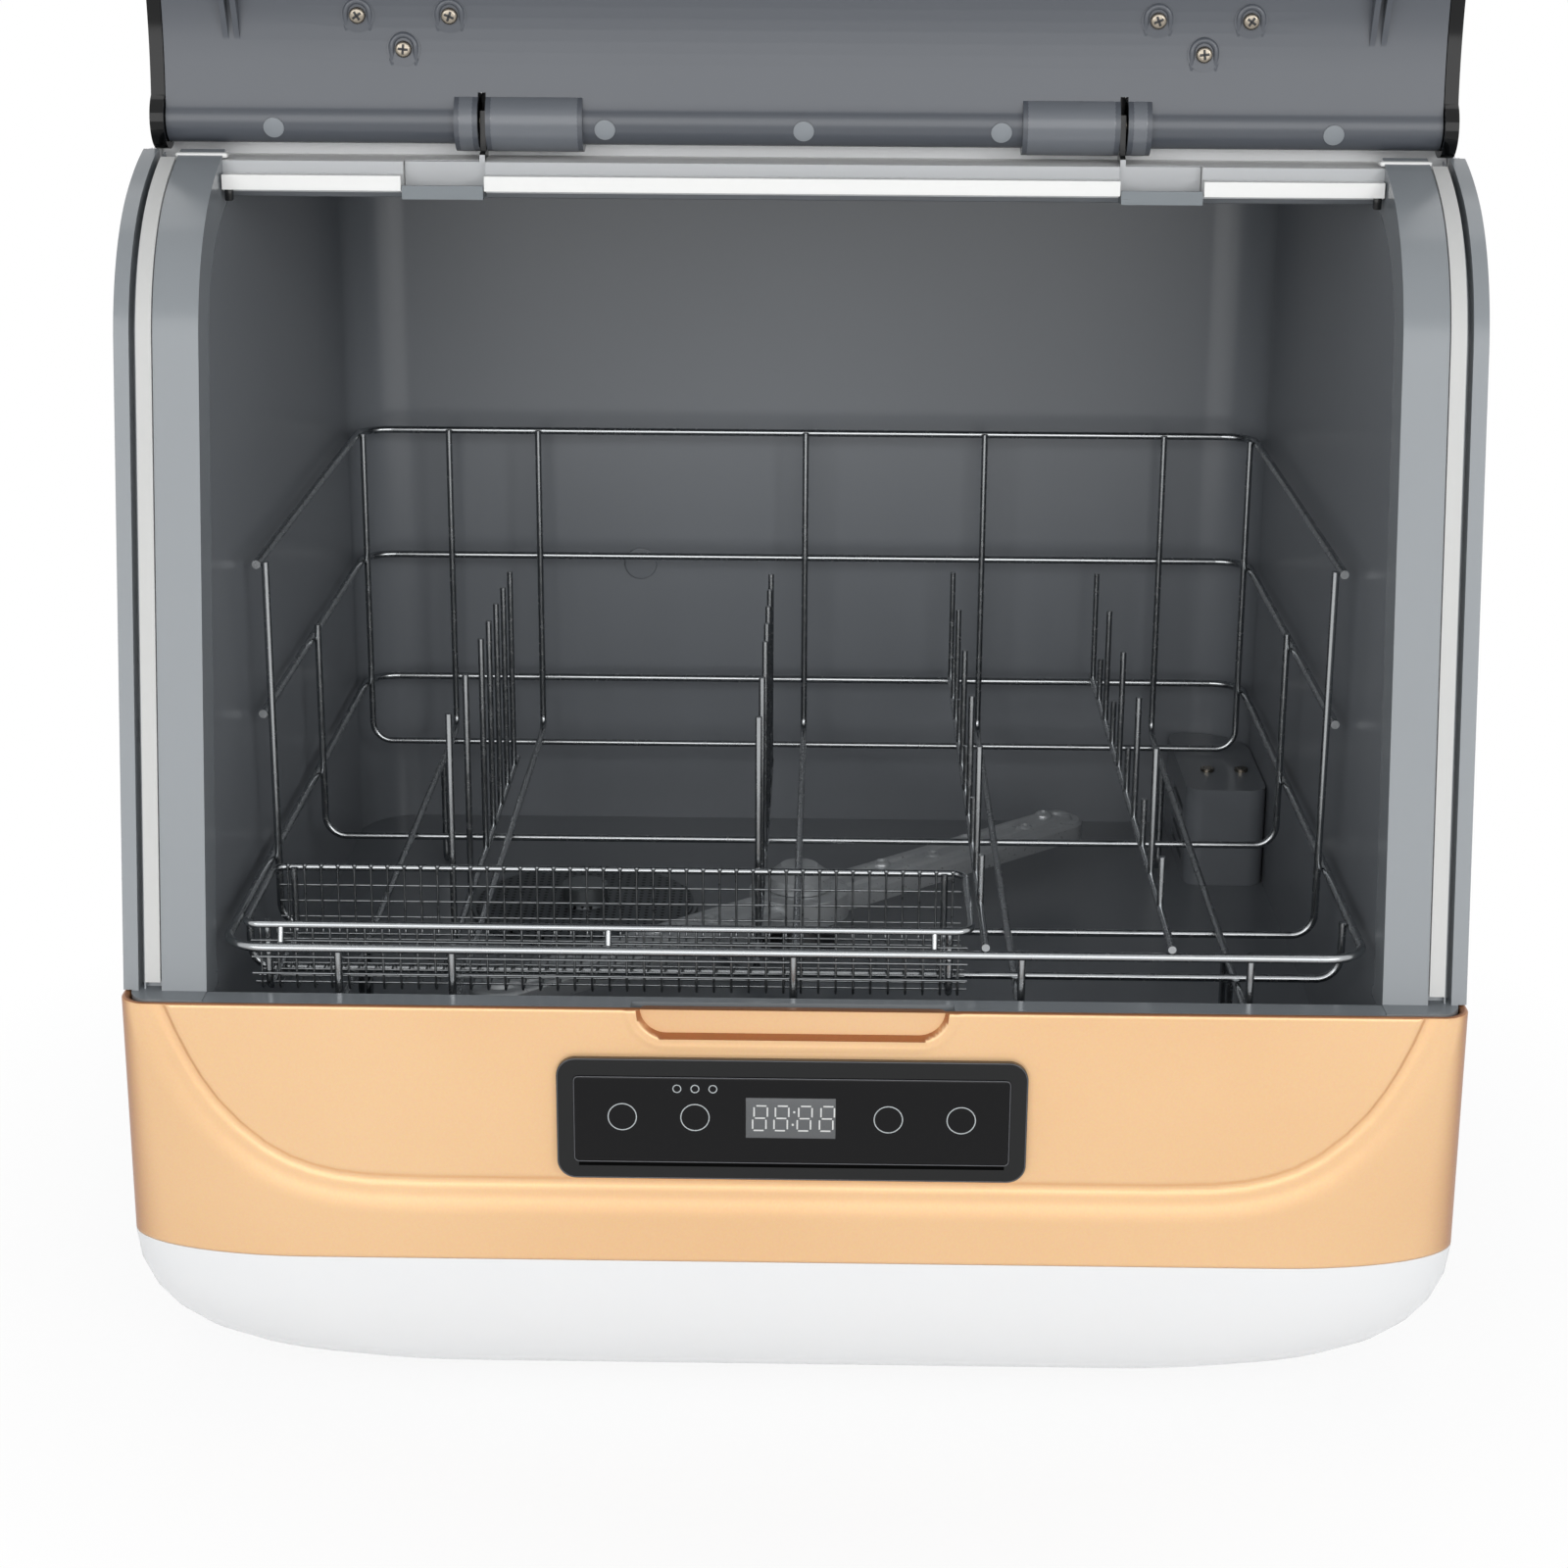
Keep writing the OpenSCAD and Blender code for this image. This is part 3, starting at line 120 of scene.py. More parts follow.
def edit_all(obj):
    """Edit mode with the whole mesh selected."""
    alone(obj)
    bpy.ops.object.mode_set(mode="EDIT")
    bpy.ops.mesh.select_all(action="SELECT")


def done():
    """Back to object mode."""
    bpy.ops.object.mode_set(mode="OBJECT")


def joined(objs, name):
    """Joins the objects into one piece with its place in its mesh."""
    bpy.ops.object.select_all(action="DESELECT")
    for o in objs:
        o.select_set(True)
    bpy.context.view_layer.objects.active = objs[0]
    if len(objs) > 1:
        bpy.ops.object.join()
    obj = bpy.context.object
    obj.name = obj.data.name = name
    return settle(obj)


def copy_of(obj, offset=(0, 0, 0)):
    """A copy with its own mesh, moved by offset metres."""
    new = obj.copy()
    new.data = obj.data.copy()
    bpy.context.collection.objects.link(new)
    new.data.transform(Matrix.Translation(Vector(offset)))
    return new


def repeated(obj, places, name):
    """One piece made of a copy of the object at each place, given as a matrix, with the first one removed."""
    copies = []
    for place in places:
        new = copy_of(obj)
        new.data.transform(place)
        copies.append(new)
    bpy.data.objects.remove(obj, do_unlink=True)
    return joined(copies, name)


def smooth(obj, angle=35):
    """Shades smooth across edges flatter than the angle."""
    alone(obj)
    bpy.ops.object.shade_smooth_by_angle(angle=math.radians(angle))
    return obj


def outward(obj):
    """Merges doubles and turns all faces outward."""
    edit_all(obj)
    bpy.ops.mesh.remove_doubles(threshold=1e-6)
    bpy.ops.mesh.normals_make_consistent(inside=False)
    done()
    return obj


def rounded_slab(name, size, centre, bevel, segments=3):
    """A box whose edges are rolled over."""
    obj = add("cube", name, size=1, location=centre)
    obj.scale = size
    settle(obj)
    pick(obj, lambda a, b: True, "EDGE")
    bpy.ops.mesh.bevel(offset=bevel, segments=segments, profile=0.5, affect="EDGES")
    done()
    return smooth(obj, 40)


def wire(name, points, radius, bend=0.0, sides=8):
    """A round wire through the points, its corners bent with a radius."""
    curve = bpy.data.curves.new(name, "CURVE")
    curve.dimensions = "3D"
    curve.bevel_depth = radius
    curve.bevel_resolution = max(0, (sides - 4) // 2)
    curve.use_fill_caps = True
    path = []
    for i, p in enumerate(points):
        p = Vector(p)
        if bend and 0 < i < len(points) - 1:
            a = (Vector(points[i - 1]) - p).normalized()
            b = (Vector(points[i + 1]) - p).normalized()
            for k in range(5):
                t = k / 4
                path.append(p + a * bend * (1 - t) ** 2 + b * bend * t ** 2)
        else:
            path.append(p)
    line = curve.splines.new("POLY")
    line.points.add(len(path) - 1)
    for q, p in zip(line.points, path):
        q.co = (*p, 1)
    obj = bpy.data.objects.new(name, curve)
    bpy.context.collection.objects.link(obj)
    alone(obj)
    bpy.ops.object.convert(target="MESH")
    obj = bpy.context.object
    bpy.ops.object.shade_smooth()
    return obj


def finished(obj, body, finish, replaces=()):
    """Gives a piece its material, its body, and the CAD nodes that it stands for."""
    settle(obj)
    obj.data.materials.clear()
    obj.data.materials.append(finish)
    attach(obj, body)
    if replaces:
        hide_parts(*replaces)
    return obj


def smooth_twin(node, body, finish, angle=32):
    """A copy of a CAD node's own shape, its loose triangles merged so that curved faces shade as curves."""
    src = frame["nodes"][node]
    obj = src.copy()
    obj.data = src.data.copy()
    obj.parent = None
    obj.matrix_world = src.matrix_world.copy()
    bpy.context.collection.objects.link(obj)
    obj.name = obj.data.name = node + "_skin"
    alone(obj)
    if obj.data.has_custom_normals:
        bpy.ops.mesh.customdata_custom_splitnormals_clear()
    edit_all(obj)
    bpy.ops.mesh.remove_doubles(threshold=1e-5)
    bpy.ops.mesh.dissolve_limited(angle_limit=math.radians(0.3), delimit=set())
    done()
    smooth(obj, angle)
    modify(obj, "WEIGHTED_NORMAL", mode="FACE_AREA", keep_sharp=True)
    return finished(obj, body, finish, (node,))


# ---------------------------------------------------------------- materials
def linear(code):
    """sRGB hex to linear RGBA."""
    out = []
    for i in (1, 3, 5):
        c = int(code[i:i + 2], 16) / 255
        out.append(c / 12.92 if c <= 0.04045 else ((c + 0.055) / 1.055) ** 2.4)
    return (*out, 1.0)


def node(tree, kind, inputs=None, **settings):
    """Adds one shader node, sets its fields, and sets or links its inputs."""
    n = tree.nodes.new("ShaderNode" + kind)
    for key, value in settings.items():
        setattr(n, key, value)
    for key, value in (inputs or {}).items():
        socket = n.inputs[key]
        if isinstance(value, bpy.types.NodeSocket):
            tree.links.new(value, socket)
        else:
            socket.default_value = value
    return n


def new_material(name):
    """An empty material and its node tree."""
    m = bpy.data.materials.new(name)
    m.use_nodes = True
    m.node_tree.nodes.clear()
    return m, m.node_tree


def close(tree, shader):
    """Ends a material's tree with the shader."""
    node(tree, "OutputMaterial", {"Surface": shader.outputs[0]})


def seen_share(tree):
    """1 for rays from the camera and its mirror or glass images, 0 for the light that falls on things."""
    path = node(tree, "LightPath")
    direct = node(tree, "Math", {0: path.outputs["Is Camera Ray"], 1: path.outputs["Is Glossy Ray"]},
                  operation="MAXIMUM")
    return node(tree, "Math", {0: direct.outputs[0], 1: path.outputs["Is Transmission Ray"]}, operation="MAXIMUM")


def moulded(name, code, rough, grain_mm=0.9, grain=0.02, shade=0.05, rough_spread=0.04, **shader_inputs):
    """Injection-moulded plastic or rubber: faint eroded grain, and slow changes of shade where it cooled."""
    m, t = new_material(name)
    place = node(t, "TexCoord").outputs["Object"]
    fine = node(t, "TexNoise", {"Vector": place, "Scale": 1000 / grain_mm, "Detail": 3.0, "Roughness": 0.55})
    slow = node(t, "TexNoise", {"Vector": place, "Scale": 1000 / 70.0, "Detail": 2.0, "Roughness": 0.5})
    base = linear(code)
    dark = tuple(c * (1 - shade) for c in base[:3]) + (1.0,)
    pale = tuple(min(1.0, c * (1 + shade)) for c in base[:3]) + (1.0,)
    colour = node(t, "Mix", {"Factor": slow.outputs["Fac"], 6: dark, 7: pale}, data_type="RGBA")
    gloss = node(t, "MapRange", {"Value": fine.outputs["Fac"], "From Min": 0.3, "From Max": 0.7,
                                 "To Min": max(0.02, rough - rough_spread), "To Max": rough + rough_spread})
    bump = node(t, "Bump", {"Height": fine.outputs["Fac"], "Strength": 0.12, "Distance": grain / 1000})
    shader = node(t, "BsdfPrincipled", {"Base Color": colour.outputs[2], "Roughness": gloss.outputs[0],
                                        "Normal": bump.outputs[0], **shader_inputs})
    close(t, shader)
    return m


def metal(name, code, rough, streak_mm=(40, 0.5, 0.5), depth=0.01, shade=0.06, **shader_inputs):
    """Drawn or stamped metal: fine lines along the way it was worked, stretched by streak_mm."""
    m, t = new_material(name)
    place = node(t, "TexCoord").outputs["Object"]
    lined = node(t, "Mapping", {"Vector": place, "Scale": tuple(1000 / s for s in streak_mm)})
    fine = node(t, "TexNoise", {"Vector": lined.outputs[0], "Scale": 1.0, "Detail": 4.0, "Roughness": 0.6})
    base = linear(code)
    dark = tuple(c * (1 - shade) for c in base[:3]) + (1.0,)
    colour = node(t, "Mix", {"Factor": fine.outputs["Fac"], 6: dark, 7: base}, data_type="RGBA")
    gloss = node(t, "MapRange", {"Value": fine.outputs["Fac"], "From Min": 0.3, "From Max": 0.7,
                                 "To Min": rough * 0.75, "To Max": rough * 1.25})
    bump = node(t, "Bump", {"Height": fine.outputs["Fac"], "Strength": 0.3, "Distance": depth / 1000})
    shader = node(t, "BsdfPrincipled", {"Base Color": colour.outputs[2], "Roughness": gloss.outputs[0],
                                        **{"Metallic": 1.0, "Normal": bump.outputs[0], **shader_inputs}})
    close(t, shader)
    return m


def pearl_lacquer():
    """Pearl lacquer sprayed on ABS: a warm gold whose mica flakes give a satin, slightly metallic glow."""
    m, t = new_material("pearl_lacquer_on_abs")
    place = node(t, "TexCoord").outputs["Object"]
    # real flakes are 0.05 mm; drawn at 0.6 mm so that they show at all
    flakes = node(t, "TexVoronoi", {"Vector": place, "Scale": 1000 / 0.6})
    slow = node(t, "TexNoise", {"Vector": place, "Scale": 1000 / 110.0, "Detail": 2.0})
    front = node(t, "Mix", {"Factor": slow.outputs["Fac"], 6: linear("#E9B987"), 7: linear("#F6CE9F")},
                 data_type="RGBA")
    # painted shade: faces turned to the sides and faces turned upward are painted a darker copper instead of gold,
    # where less light falls
    faces = node(t, "SeparateXYZ", {0: node(t, "TexCoord").outputs["Normal"]})
    side_facing_shade = node(t, "Math", {0: faces.outputs["X"]}, operation="ABSOLUTE")
    side_facing_shade = node(t, "MapRange", {"Value": side_facing_shade.outputs[0], "From Min": 0.35, "From Max": 0.98},
                 interpolation_type="SMOOTHSTEP")
    upward_facing_shade = node(t, "MapRange", {"Value": faces.outputs["Z"], "From Min": 0.25, "From Max": 0.85},
                 interpolation_type="SMOOTHSTEP")
    painted_shade_share = node(t, "Math", {0: side_facing_shade.outputs[0], 1: upward_facing_shade.outputs[0]}, operation="MAXIMUM")
    colour = node(t, "Mix", {"Factor": painted_shade_share.outputs[0], 6: front.outputs[2], 7: linear("#A9714A")},
                  data_type="RGBA")
    fleck = node(t, "Mix", {"Factor": 0.06, 6: colour.outputs[2], 7: flakes.outputs["Color"]},
                 data_type="RGBA", blend_type="SOFT_LIGHT")
    gloss = node(t, "MapRange", {"Value": flakes.outputs["Distance"], "To Min": 0.30, "To Max": 0.42})
    bump = node(t, "Bump", {"Height": flakes.outputs["Distance"], "Strength": 0.05, "Distance": 0.00002})
    shader = node(t, "BsdfPrincipled", {
        "Base Color": fleck.outputs[2], "Metallic": 0.35, "Roughness": gloss.outputs[0],
        "Coat Weight": 0.12, "Coat Roughness": 0.2, "Specular IOR Level": 0.35, "Normal": bump.outputs[0]})
    close(t, shader)
    return m


# gloss ABS, moulded white: the base and the covers
WHITE_ABS = moulded("white_gloss_abs", "#F1F2F3", 0.24, grain_mm=2.5, grain=0.01, shade=0.01, rough_spread=0.03)
# pearl lacquer: the front band
GOLD = pearl_lacquer()
# glass-filled polypropylene, satin: frame around the opening
FRAME_PP = moulded("grey_satin_polypropylene", "#8C9195", 0.2, grain_mm=1.6, grain=0.0004, shade=0.03,
                   rough_spread=0.006)
# polypropylene tub, darker and a little rougher where water dries on it
TUB_PP = moulded("dark_grey_tub_polypropylene", "#7C8085", 0.28, grain_mm=2.2, grain=0.0001, shade=0.03,
                 rough_spread=0.003)
# inner lid panel, satin grey, and the hinge knuckles moulded with it; the knuckles get a lighter grey copy of it,
# painted light
LID_PP = moulded("grey_lid_polypropylene", "#53575E", 0.27, grain_mm=2.2, grain=0.0001, shade=0.03,
                 rough_spread=0.003)
LIGHTER_KNUCKLE_PP = moulded("grey_lid_polypropylene_painted_lighter_on_knuckles", "#6C7076", 0.24, grain_mm=2.2, grain=0.0001, shade=0.03,
                     rough_spread=0.003)
# outer lid shell, tinted black and polished
BLACK_GLOSS = moulded("black_polished_acrylic", "#090A0B", 0.1, grain_mm=6, grain=0.004, shade=0.02,
                      rough_spread=0.02, **{"Specular IOR Level": 0.28})
# bezel, and the clip ears, where the black is painted shade; and the film over the keys
BLACK_SATIN = moulded("black_satin_abs", "#131415", 0.16, grain_mm=1.2, grain=0.0006, shade=0.03, rough_spread=0.01,
                      **{"Specular IOR Level": 0.32})
PANEL_BLACK = moulded("black_gloss_key_film", "#0B0B0D", 0.16, grain_mm=1.5, grain=0.003, shade=0.02,
                      **{"Specular IOR Level": 0.2})
# silicone seals, soft and matte
SILICONE = moulded("pale_grey_silicone", "#CFCFCD", 0.55, grain_mm=0.7, grain=0.03, shade=0.03)
WHITE_SEAL = moulded("white_silicone", "#F3F3F1", 0.5, grain_mm=0.7, grain=0.02, shade=0.01)
# pale grey, painted shade: the white rail's front face, and the same grey on the clips' upper walls
RAIL_FACE_SHADE = moulded("pale_grey_of_rail_face_in_painted_shade", "#BDBFC1", 0.4, grain_mm=1.6, grain=0.0004, shade=0.02)
# feet and hoses
RUBBER = moulded("black_rubber", "#1E1E1F", 0.7, grain_mm=0.6, grain=0.04, shade=0.08)
# connectors, pump and fan housings, and small pieces inside
DARK_PP = moulded("black_moulded_polypropylene", "#232427", 0.45, grain_mm=0.8, grain=0.03)
WHITE_PP = moulded("white_acetal", "#E4E4DF", 0.4, grain_mm=0.9, grain=0.02)
# electronics, with the print and the display of the panel
BOARD = moulded("green_circuit_laminate", "#1F5A3C", 0.35, grain_mm=0.5, grain=0.02, shade=0.15)
PRINT = moulded("pale_grey_key_print", "#C3C9CB", 0.5, grain_mm=0.4, grain=0.005, shade=0.02)
LED_BACK = moulded("grey_display_window", "#5B5D5F", 0.3, grain_mm=0.4, grain=0.01, shade=0.04)
LED_BAR = moulded("white_display_segment", "#DADBDA", 0.45, grain_mm=0.4, grain=0.005, shade=0.02)
# stainless wire, electropolished: bright with fine drawing lines
WIRE_STEEL = metal("electropolished_stainless_wire", "#A9ACAE", 0.24, (3, 3, 3), 0.004)
# thinner wire of the woven basket, duller from its weave
MESH_STEEL = metal("woven_stainless_wire", "#85888A", 0.32, (3, 3, 3), 0.004)
# screws, spray arm, hinge clips, filter and motors
SCREW_STEEL = metal("nickel_plated_screw_steel", "#948C80", 0.26, (1.5, 1.5, 1.5), 0.01)
ARM_STEEL = metal("stamped_stainless_spray_arm", "#C6C9CB", 0.34, (60, 1.2, 1.2), 0.02, Metallic=0.45)
CLIP_STEEL = metal("zinc_plated_clip_steel", "#72787C", 0.36, (20, 0.8, 0.8), 0.005, Metallic=0.4)
FILTER_STEEL = metal("etched_stainless_filter", "#8C9092", 0.38, (1.2, 1.2, 8), 0.02, Metallic=0.8)
MOTOR_STEEL = metal("lacquered_motor_steel", "#3C3F42", 0.45, (2, 2, 2), 0.02, Metallic=0.5)

BY_SLOT = {
    "white_shell": WHITE_ABS, "gold_band": GOLD, "black_gloss": BLACK_GLOSS, "black_panel": PANEL_BLACK,
    "display": LED_BACK, "circuit_board": BOARD, "foot_rubber": RUBBER, "screw_steel": SCREW_STEEL,
    "grey_frame": FRAME_PP, "seal_rubber": SILICONE, "clip_steel": CLIP_STEEL, "lid_grey": LID_PP,
    "dark_plastic": DARK_PP, "tub_grey": TUB_PP, "white_plastic": WHITE_PP, "arm_grey": ARM_STEEL,
    "filter_steel": FILTER_STEEL, "motor_steel": MOTOR_STEEL, "hose_rubber": RUBBER, "rack_steel": WIRE_STEEL}
BY_NODE = {"top_seal_bar": WHITE_SEAL, "control_bezel": BLACK_SATIN}
for part in frame["record"]["subparts"]:
    cad = frame["nodes"][part["node"]]
    finish = BY_NODE.get(part["node"], BY_SLOT[part["material_slot"]])
    cad.data.materials.clear()
    cad.data.materials.append(finish)


# ---------------------------------------------------------------- the lid line, as in the CAD
def rad_dir(a):
    """The direction at a degrees from the Y axis, in the side view."""
    return Vector((math.cos(math.radians(a)), math.sin(math.radians(a))))


def rad_out(a):
    """The direction at right angles to that one, out of the cabinet."""
    return Vector((-math.sin(math.radians(a)), math.cos(math.radians(a))))


# a straight rise, a tight bend and a wide one, with the angles in degrees where each ends
LINE_UP, BEND, END = 78.8, 28.0, 14.0
RISE, TIGHT_R, WIDE_R = 208, 64, 120
OPEN_ANGLE = 113
LINE_0 = Vector((11.0, 0.0))
LINE_1 = LINE_0 + rad_dir(LINE_UP) * RISE
CENTRE_1 = LINE_1 - rad_out(LINE_UP) * TIGHT_R
CENTRE_2 = CENTRE_1 + rad_out(BEND) * TIGHT_R - rad_out(BEND) * WIDE_R
LINE_3 = CENTRE_2 + rad_out(END) * WIDE_R
HINGE = Vector((LINE_3.x + 4.5, LINE_3.y + 9.0))
AXIS = at(0, HINGE.x, HINGE.y)
OPEN = Matrix.Translation(AXIS) @ Matrix.Rotation(math.radians(-OPEN_ANGLE), 4, "X") @ Matrix.Translation(-AXIS)


def on_lid(x, h):
    """The matrix of a spot on the open lid's inner panel, h along the lid from the hinge: Z leaves the panel."""
    hinge_h, off = 9, 1.0
    a = END + math.degrees((h - hinge_h) / WIDE_R)
    if a > BEND:
        a = BEND + (a - BEND) * WIDE_R / TIGHT_R
        q = CENTRE_1 + rad_out(a) * (TIGHT_R + off)
    else:
        q = CENTRE_2 + rad_out(a) * (WIDE_R + off)
    # X stays, Y runs back towards the hinge, Z looks into the cabinet when closed
    turn = Matrix.Rotation(math.radians(a), 4, "X") @ Matrix.Rotation(math.pi, 4, "X")
    return OPEN @ Matrix.Translation(at(x, q.x, q.y)) @ turn


# ---------------------------------------------------------------- front band with its sculpted groove
# the smile-shaped line on the right half of the band, in x and z
SMILE = [(-1.0, -60.0), (120.0, -60.0), (138, -59.4), (148, -58.2), (156, -56.2), (163.5, -53.2), (171, -48.6),
         (179, -41.4), (185.5, -33.8), (190.5, -26), (194.6, -18), (198.4, -9), (201.6, 0), (204, 8)]


def smile_distance(x, z):
    """Millimetres below and outside the line of the groove: negative inside the line."""
    x = abs(x)
    best = 1e9
    side = 1
    for (x0, z0), (x1, z1) in zip(SMILE, SMILE[1:]):
        dx, dz = x1 - x0, z1 - z0
        t = max(0.0, min(1.0, ((x - x0) * dx + (z - z0) * dz) / (dx * dx + dz * dz)))
        d = math.hypot(x - x0 - t * dx, z - z0 - t * dz)
        if d < best:
            best = d
            side = 1 if dx * (z - z0) - dz * (x - x0) < 0 else -1
    return best * side


def ease(t):
    """A smooth step from 0 to 1."""
    t = max(0.0, min(1.0, t))
    return t * t * (3 - 2 * t)


def recess_distance(x, z):
    """Signed distance to the finger recess's edge, a rounded trough open at the top: negative inside."""
    half_w, r, floor_z = 49.6, 9.2, -9.5
    qx, qz = abs(x) - (half_w - r), (floor_z + r) - z
    if qx > 0 and qz > 0:
        return math.hypot(qx, qz) - r
    return max(qx, qz) - r


def band_relief(x, z):
    """How far the band's face stands out, in millimetres."""
    # the groove drops 2.1 mm over a short steep side, and rises again over a long one with a faint second fold
    s = smile_distance(x, z)
    groove = 0.0
    if s > -0.8:
        groove = -2.1 * (ease((s + 0.8) / 2.6) - ease((s - 1.6) / 13.0))
        groove += 0.35 * ease((s - 2.6) / 1.6) * (1 - ease((s - 4.2) / 4.0))
    # the recess sinks 5 mm inside two raised lips
    d = recess_distance(x, z)
    lip = 0.35 * (ease((4.6 - d) / 1.2) - ease((3.0 - d) / 1.0)) + 0.35 * ease((2.0 - d) / 1.0)
    if d < 0.9:
        lip -= 5.0 * ease((0.9 - d) / 2.6)
    return groove + lip


# the band's wrap: shares of it where the front and the corner end, then sizes in millimetres
FRONT_U, CORNER_U = 0.8, 0.92
BAND_H, BAND_REAR, BAND_WALL = 90.0, 55, 2.5
ARC_R, ELLIPSE_X, ELLIPSE_Y = 9, 62, 23


def band_point(u, z, inset):
    """A point of the band's wrap: u from -1 to 1 runs from the left rear edge round the front to the right.

    The corner is a 9 mm arc at the top, and swells to an ellipse of 62 by 23 mm at the bottom.
    """
    t = -z / BAND_H
    side, x = (1 if u > 0 else -1), abs(u)
    cx, cy = 208 - 49 * t, 9 + 16 * t
    if x < FRONT_U:
        px, py, nx, ny = cx * x / FRONT_U, 2 * t, 0.0, -1.0
    elif x < CORNER_U:
        p = math.radians(90 * (x - FRONT_U) / (CORNER_U - FRONT_U))
        nx, ny = math.sin(p) / ELLIPSE_X, -math.cos(p) / ELLIPSE_Y
        nx, ny = nx / math.hypot(nx, ny), ny / math.hypot(nx, ny)
        px = cx + ELLIPSE_X * t * math.sin(p) + ARC_R * (1 - t) * nx
        py = cy - ELLIPSE_Y * t * math.cos(p) + ARC_R * (1 - t) * ny
    else:
        py = cy + (BAND_REAR - cy) * (x - CORNER_U) / (1 - CORNER_U)
        px, nx, ny = 217 + t * (4 - 4 * (py - cy) / 346), 1.0, 0.0
    out = -inset
    if inset < 0.05 and x < CORNER_U:
        out += band_relief(px, z) * -ny
    return at(side * (px + nx * out), py + ny * out, z)


def make_band():
    """The band's shell, wrapped from a flat grid, with an opening behind the control bezel."""
    across, corner, tail, down = 430, 44, 6, 92
    us = [-1 + 0.08 * i / tail for i in range(tail)] + [-0.92 + 0.12 * i / corner for i in range(corner)]
    us += [-0.8 + 1.6 * i / across for i in range(across + 1)]
    us += [0.8 + 0.12 * (i + 1) / corner for i in range(corner)]
    us += [0.92 + 0.08 * (i + 1) / tail for i in range(tail)]
    # height and inset of each row, from behind the rolled top edge to behind the lower edge
    rows = [(-10, BAND_WALL), (-1.2, BAND_WALL), (-0.25, 2.1), (0, 1.4), (0, 0.9), (-0.22, 0.32), (-0.6, 0.0)]
    rows += [(-0.6 - 89.0 * (i + 1) / down, 0.0) for i in range(down)]
    rows += [(-BAND_H, 0.5), (-BAND_H, BAND_WALL), (-80, BAND_WALL)]
    # a grid is laid flat and then wrapped point by point: no modifier holds a groove this shallow
    obj = add("grid", "front_band_shell", x_subdivisions=len(us) - 1, y_subdivisions=len(rows) - 1, size=2)
    flat = sorted(obj.data.vertices, key=lambda v: (round(v.co.y, 6), v.co.x))
    for k, v in enumerate(flat):
        v.co = band_point(us[k % len(us)], *rows[k // len(us)])
    pick(obj, lambda c, n: abs(c.x) < 0.070 and abs(c.z - TOP + 0.0375) < 0.0165 and c.y < FRONT + 0.004)
    bpy.ops.mesh.delete(type="FACE")
    edit_all(obj)
    bpy.ops.mesh.normals_make_consistent(inside=False)
    done()
    front = [f for f in obj.data.polygons
             if abs(f.center.x) < 0.1 and f.center.z < TOP - 0.075 and f.center.y < FRONT + 0.0022]
    if sum(f.normal.y for f in front) > 0:
        edit_all(obj)
        bpy.ops.mesh.flip_normals()
        done()
    smooth(obj, 60)
    return finished(obj, "cabinet", GOLD, ("front_band",))


make_band()

# ---------------------------------------------------------------- large covers and mouldings, shaded as curves
for name, finish, slot_name, body, angle in (
        ("base_shell", WHITE_ABS, "white_shell", "cabinet", 40),
        ("top_cover", WHITE_ABS, "white_shell", "cabinet", 30),
        ("door_frame", FRAME_PP, "grey_frame", "cabinet", 25),
        ("seal_left", SILICONE, "seal_rubber", "cabinet", 25),
        ("seal_right", SILICONE, "seal_rubber", "cabinet", 25),
        ("lid_outer", BLACK_GLOSS, "black_gloss", "lid", 30),
        ("lid_inner", LID_PP, "lid_grey", "lid", 30),
        ("tub", TUB_PP, "tub_grey", "cabinet", 30)):
    smooth_twin(name, body, finish, angle)


def repaint(obj, finish, test):
    """Gives the faces that pass the test a second finish."""
    obj.data.materials.append(finish)
    for f in obj.data.polygons:
        if test(f.center, f.normal):
            f.material_index = len(obj.data.materials) - 1


# the rail under the hinge is painted white on top and pale grey on its front face, the grey being painted shade;
# the clips' upper walls take the same grey, and the clips' ears are painted black as painted shade in the lid's
# slots
RAIL_LOW, CLIP_WALL_LOW = at(0, 0, 245).z, at(0, 0, 249).z
RAIL_HALF, CLIP_X = 0.1895, 0.105
rail = bpy.data.objects["door_frame_skin"]
repaint(rail, WHITE_SEAL, lambda c, n: c.z > RAIL_LOW and abs(c.x) < RAIL_HALF)
repaint(rail, RAIL_FACE_SHADE, lambda c, n: c.z > RAIL_LOW and abs(c.x) < RAIL_HALF and n.y < -0.5)
for name in ("hinge_bracket_left", "hinge_bracket_right"):
    clip = smooth_twin(name, "cabinet", CLIP_STEEL, 30)
    repaint(clip, RAIL_FACE_SHADE, lambda c, n: c.z > CLIP_WALL_LOW)
    # painted shade: the ears inside the lid's slots are painted black
    repaint(clip, BLACK_SATIN, lambda c, n: abs(abs(c.x) - CLIP_X) < 0.0012 and c.z > CLIP_WALL_LOW)

# the seal's two ends lie on the frame's corners, and a peg holds each below the rail
STRIP_X, PEG_X = 0.197, 0.1876
strip = rounded_slab("strip_end", (0.017, 0.0045, 0.0016), at(-197, 107.4, 256.8), 0.0006, 3)
peg = rounded_slab("strip_peg", (0.0026, 0.003, 0.0050), at(-187.6, 101, 245.2), 0.0005, 2)
finished(joined([strip, copy_of(strip, (2 * STRIP_X, 0, 0))], "strip_ends"), "cabinet", WHITE_SEAL)
finished(joined([peg, copy_of(peg, (2 * PEG_X, 0, 0))], "strip_pegs"), "cabinet", BLACK_SATIN)

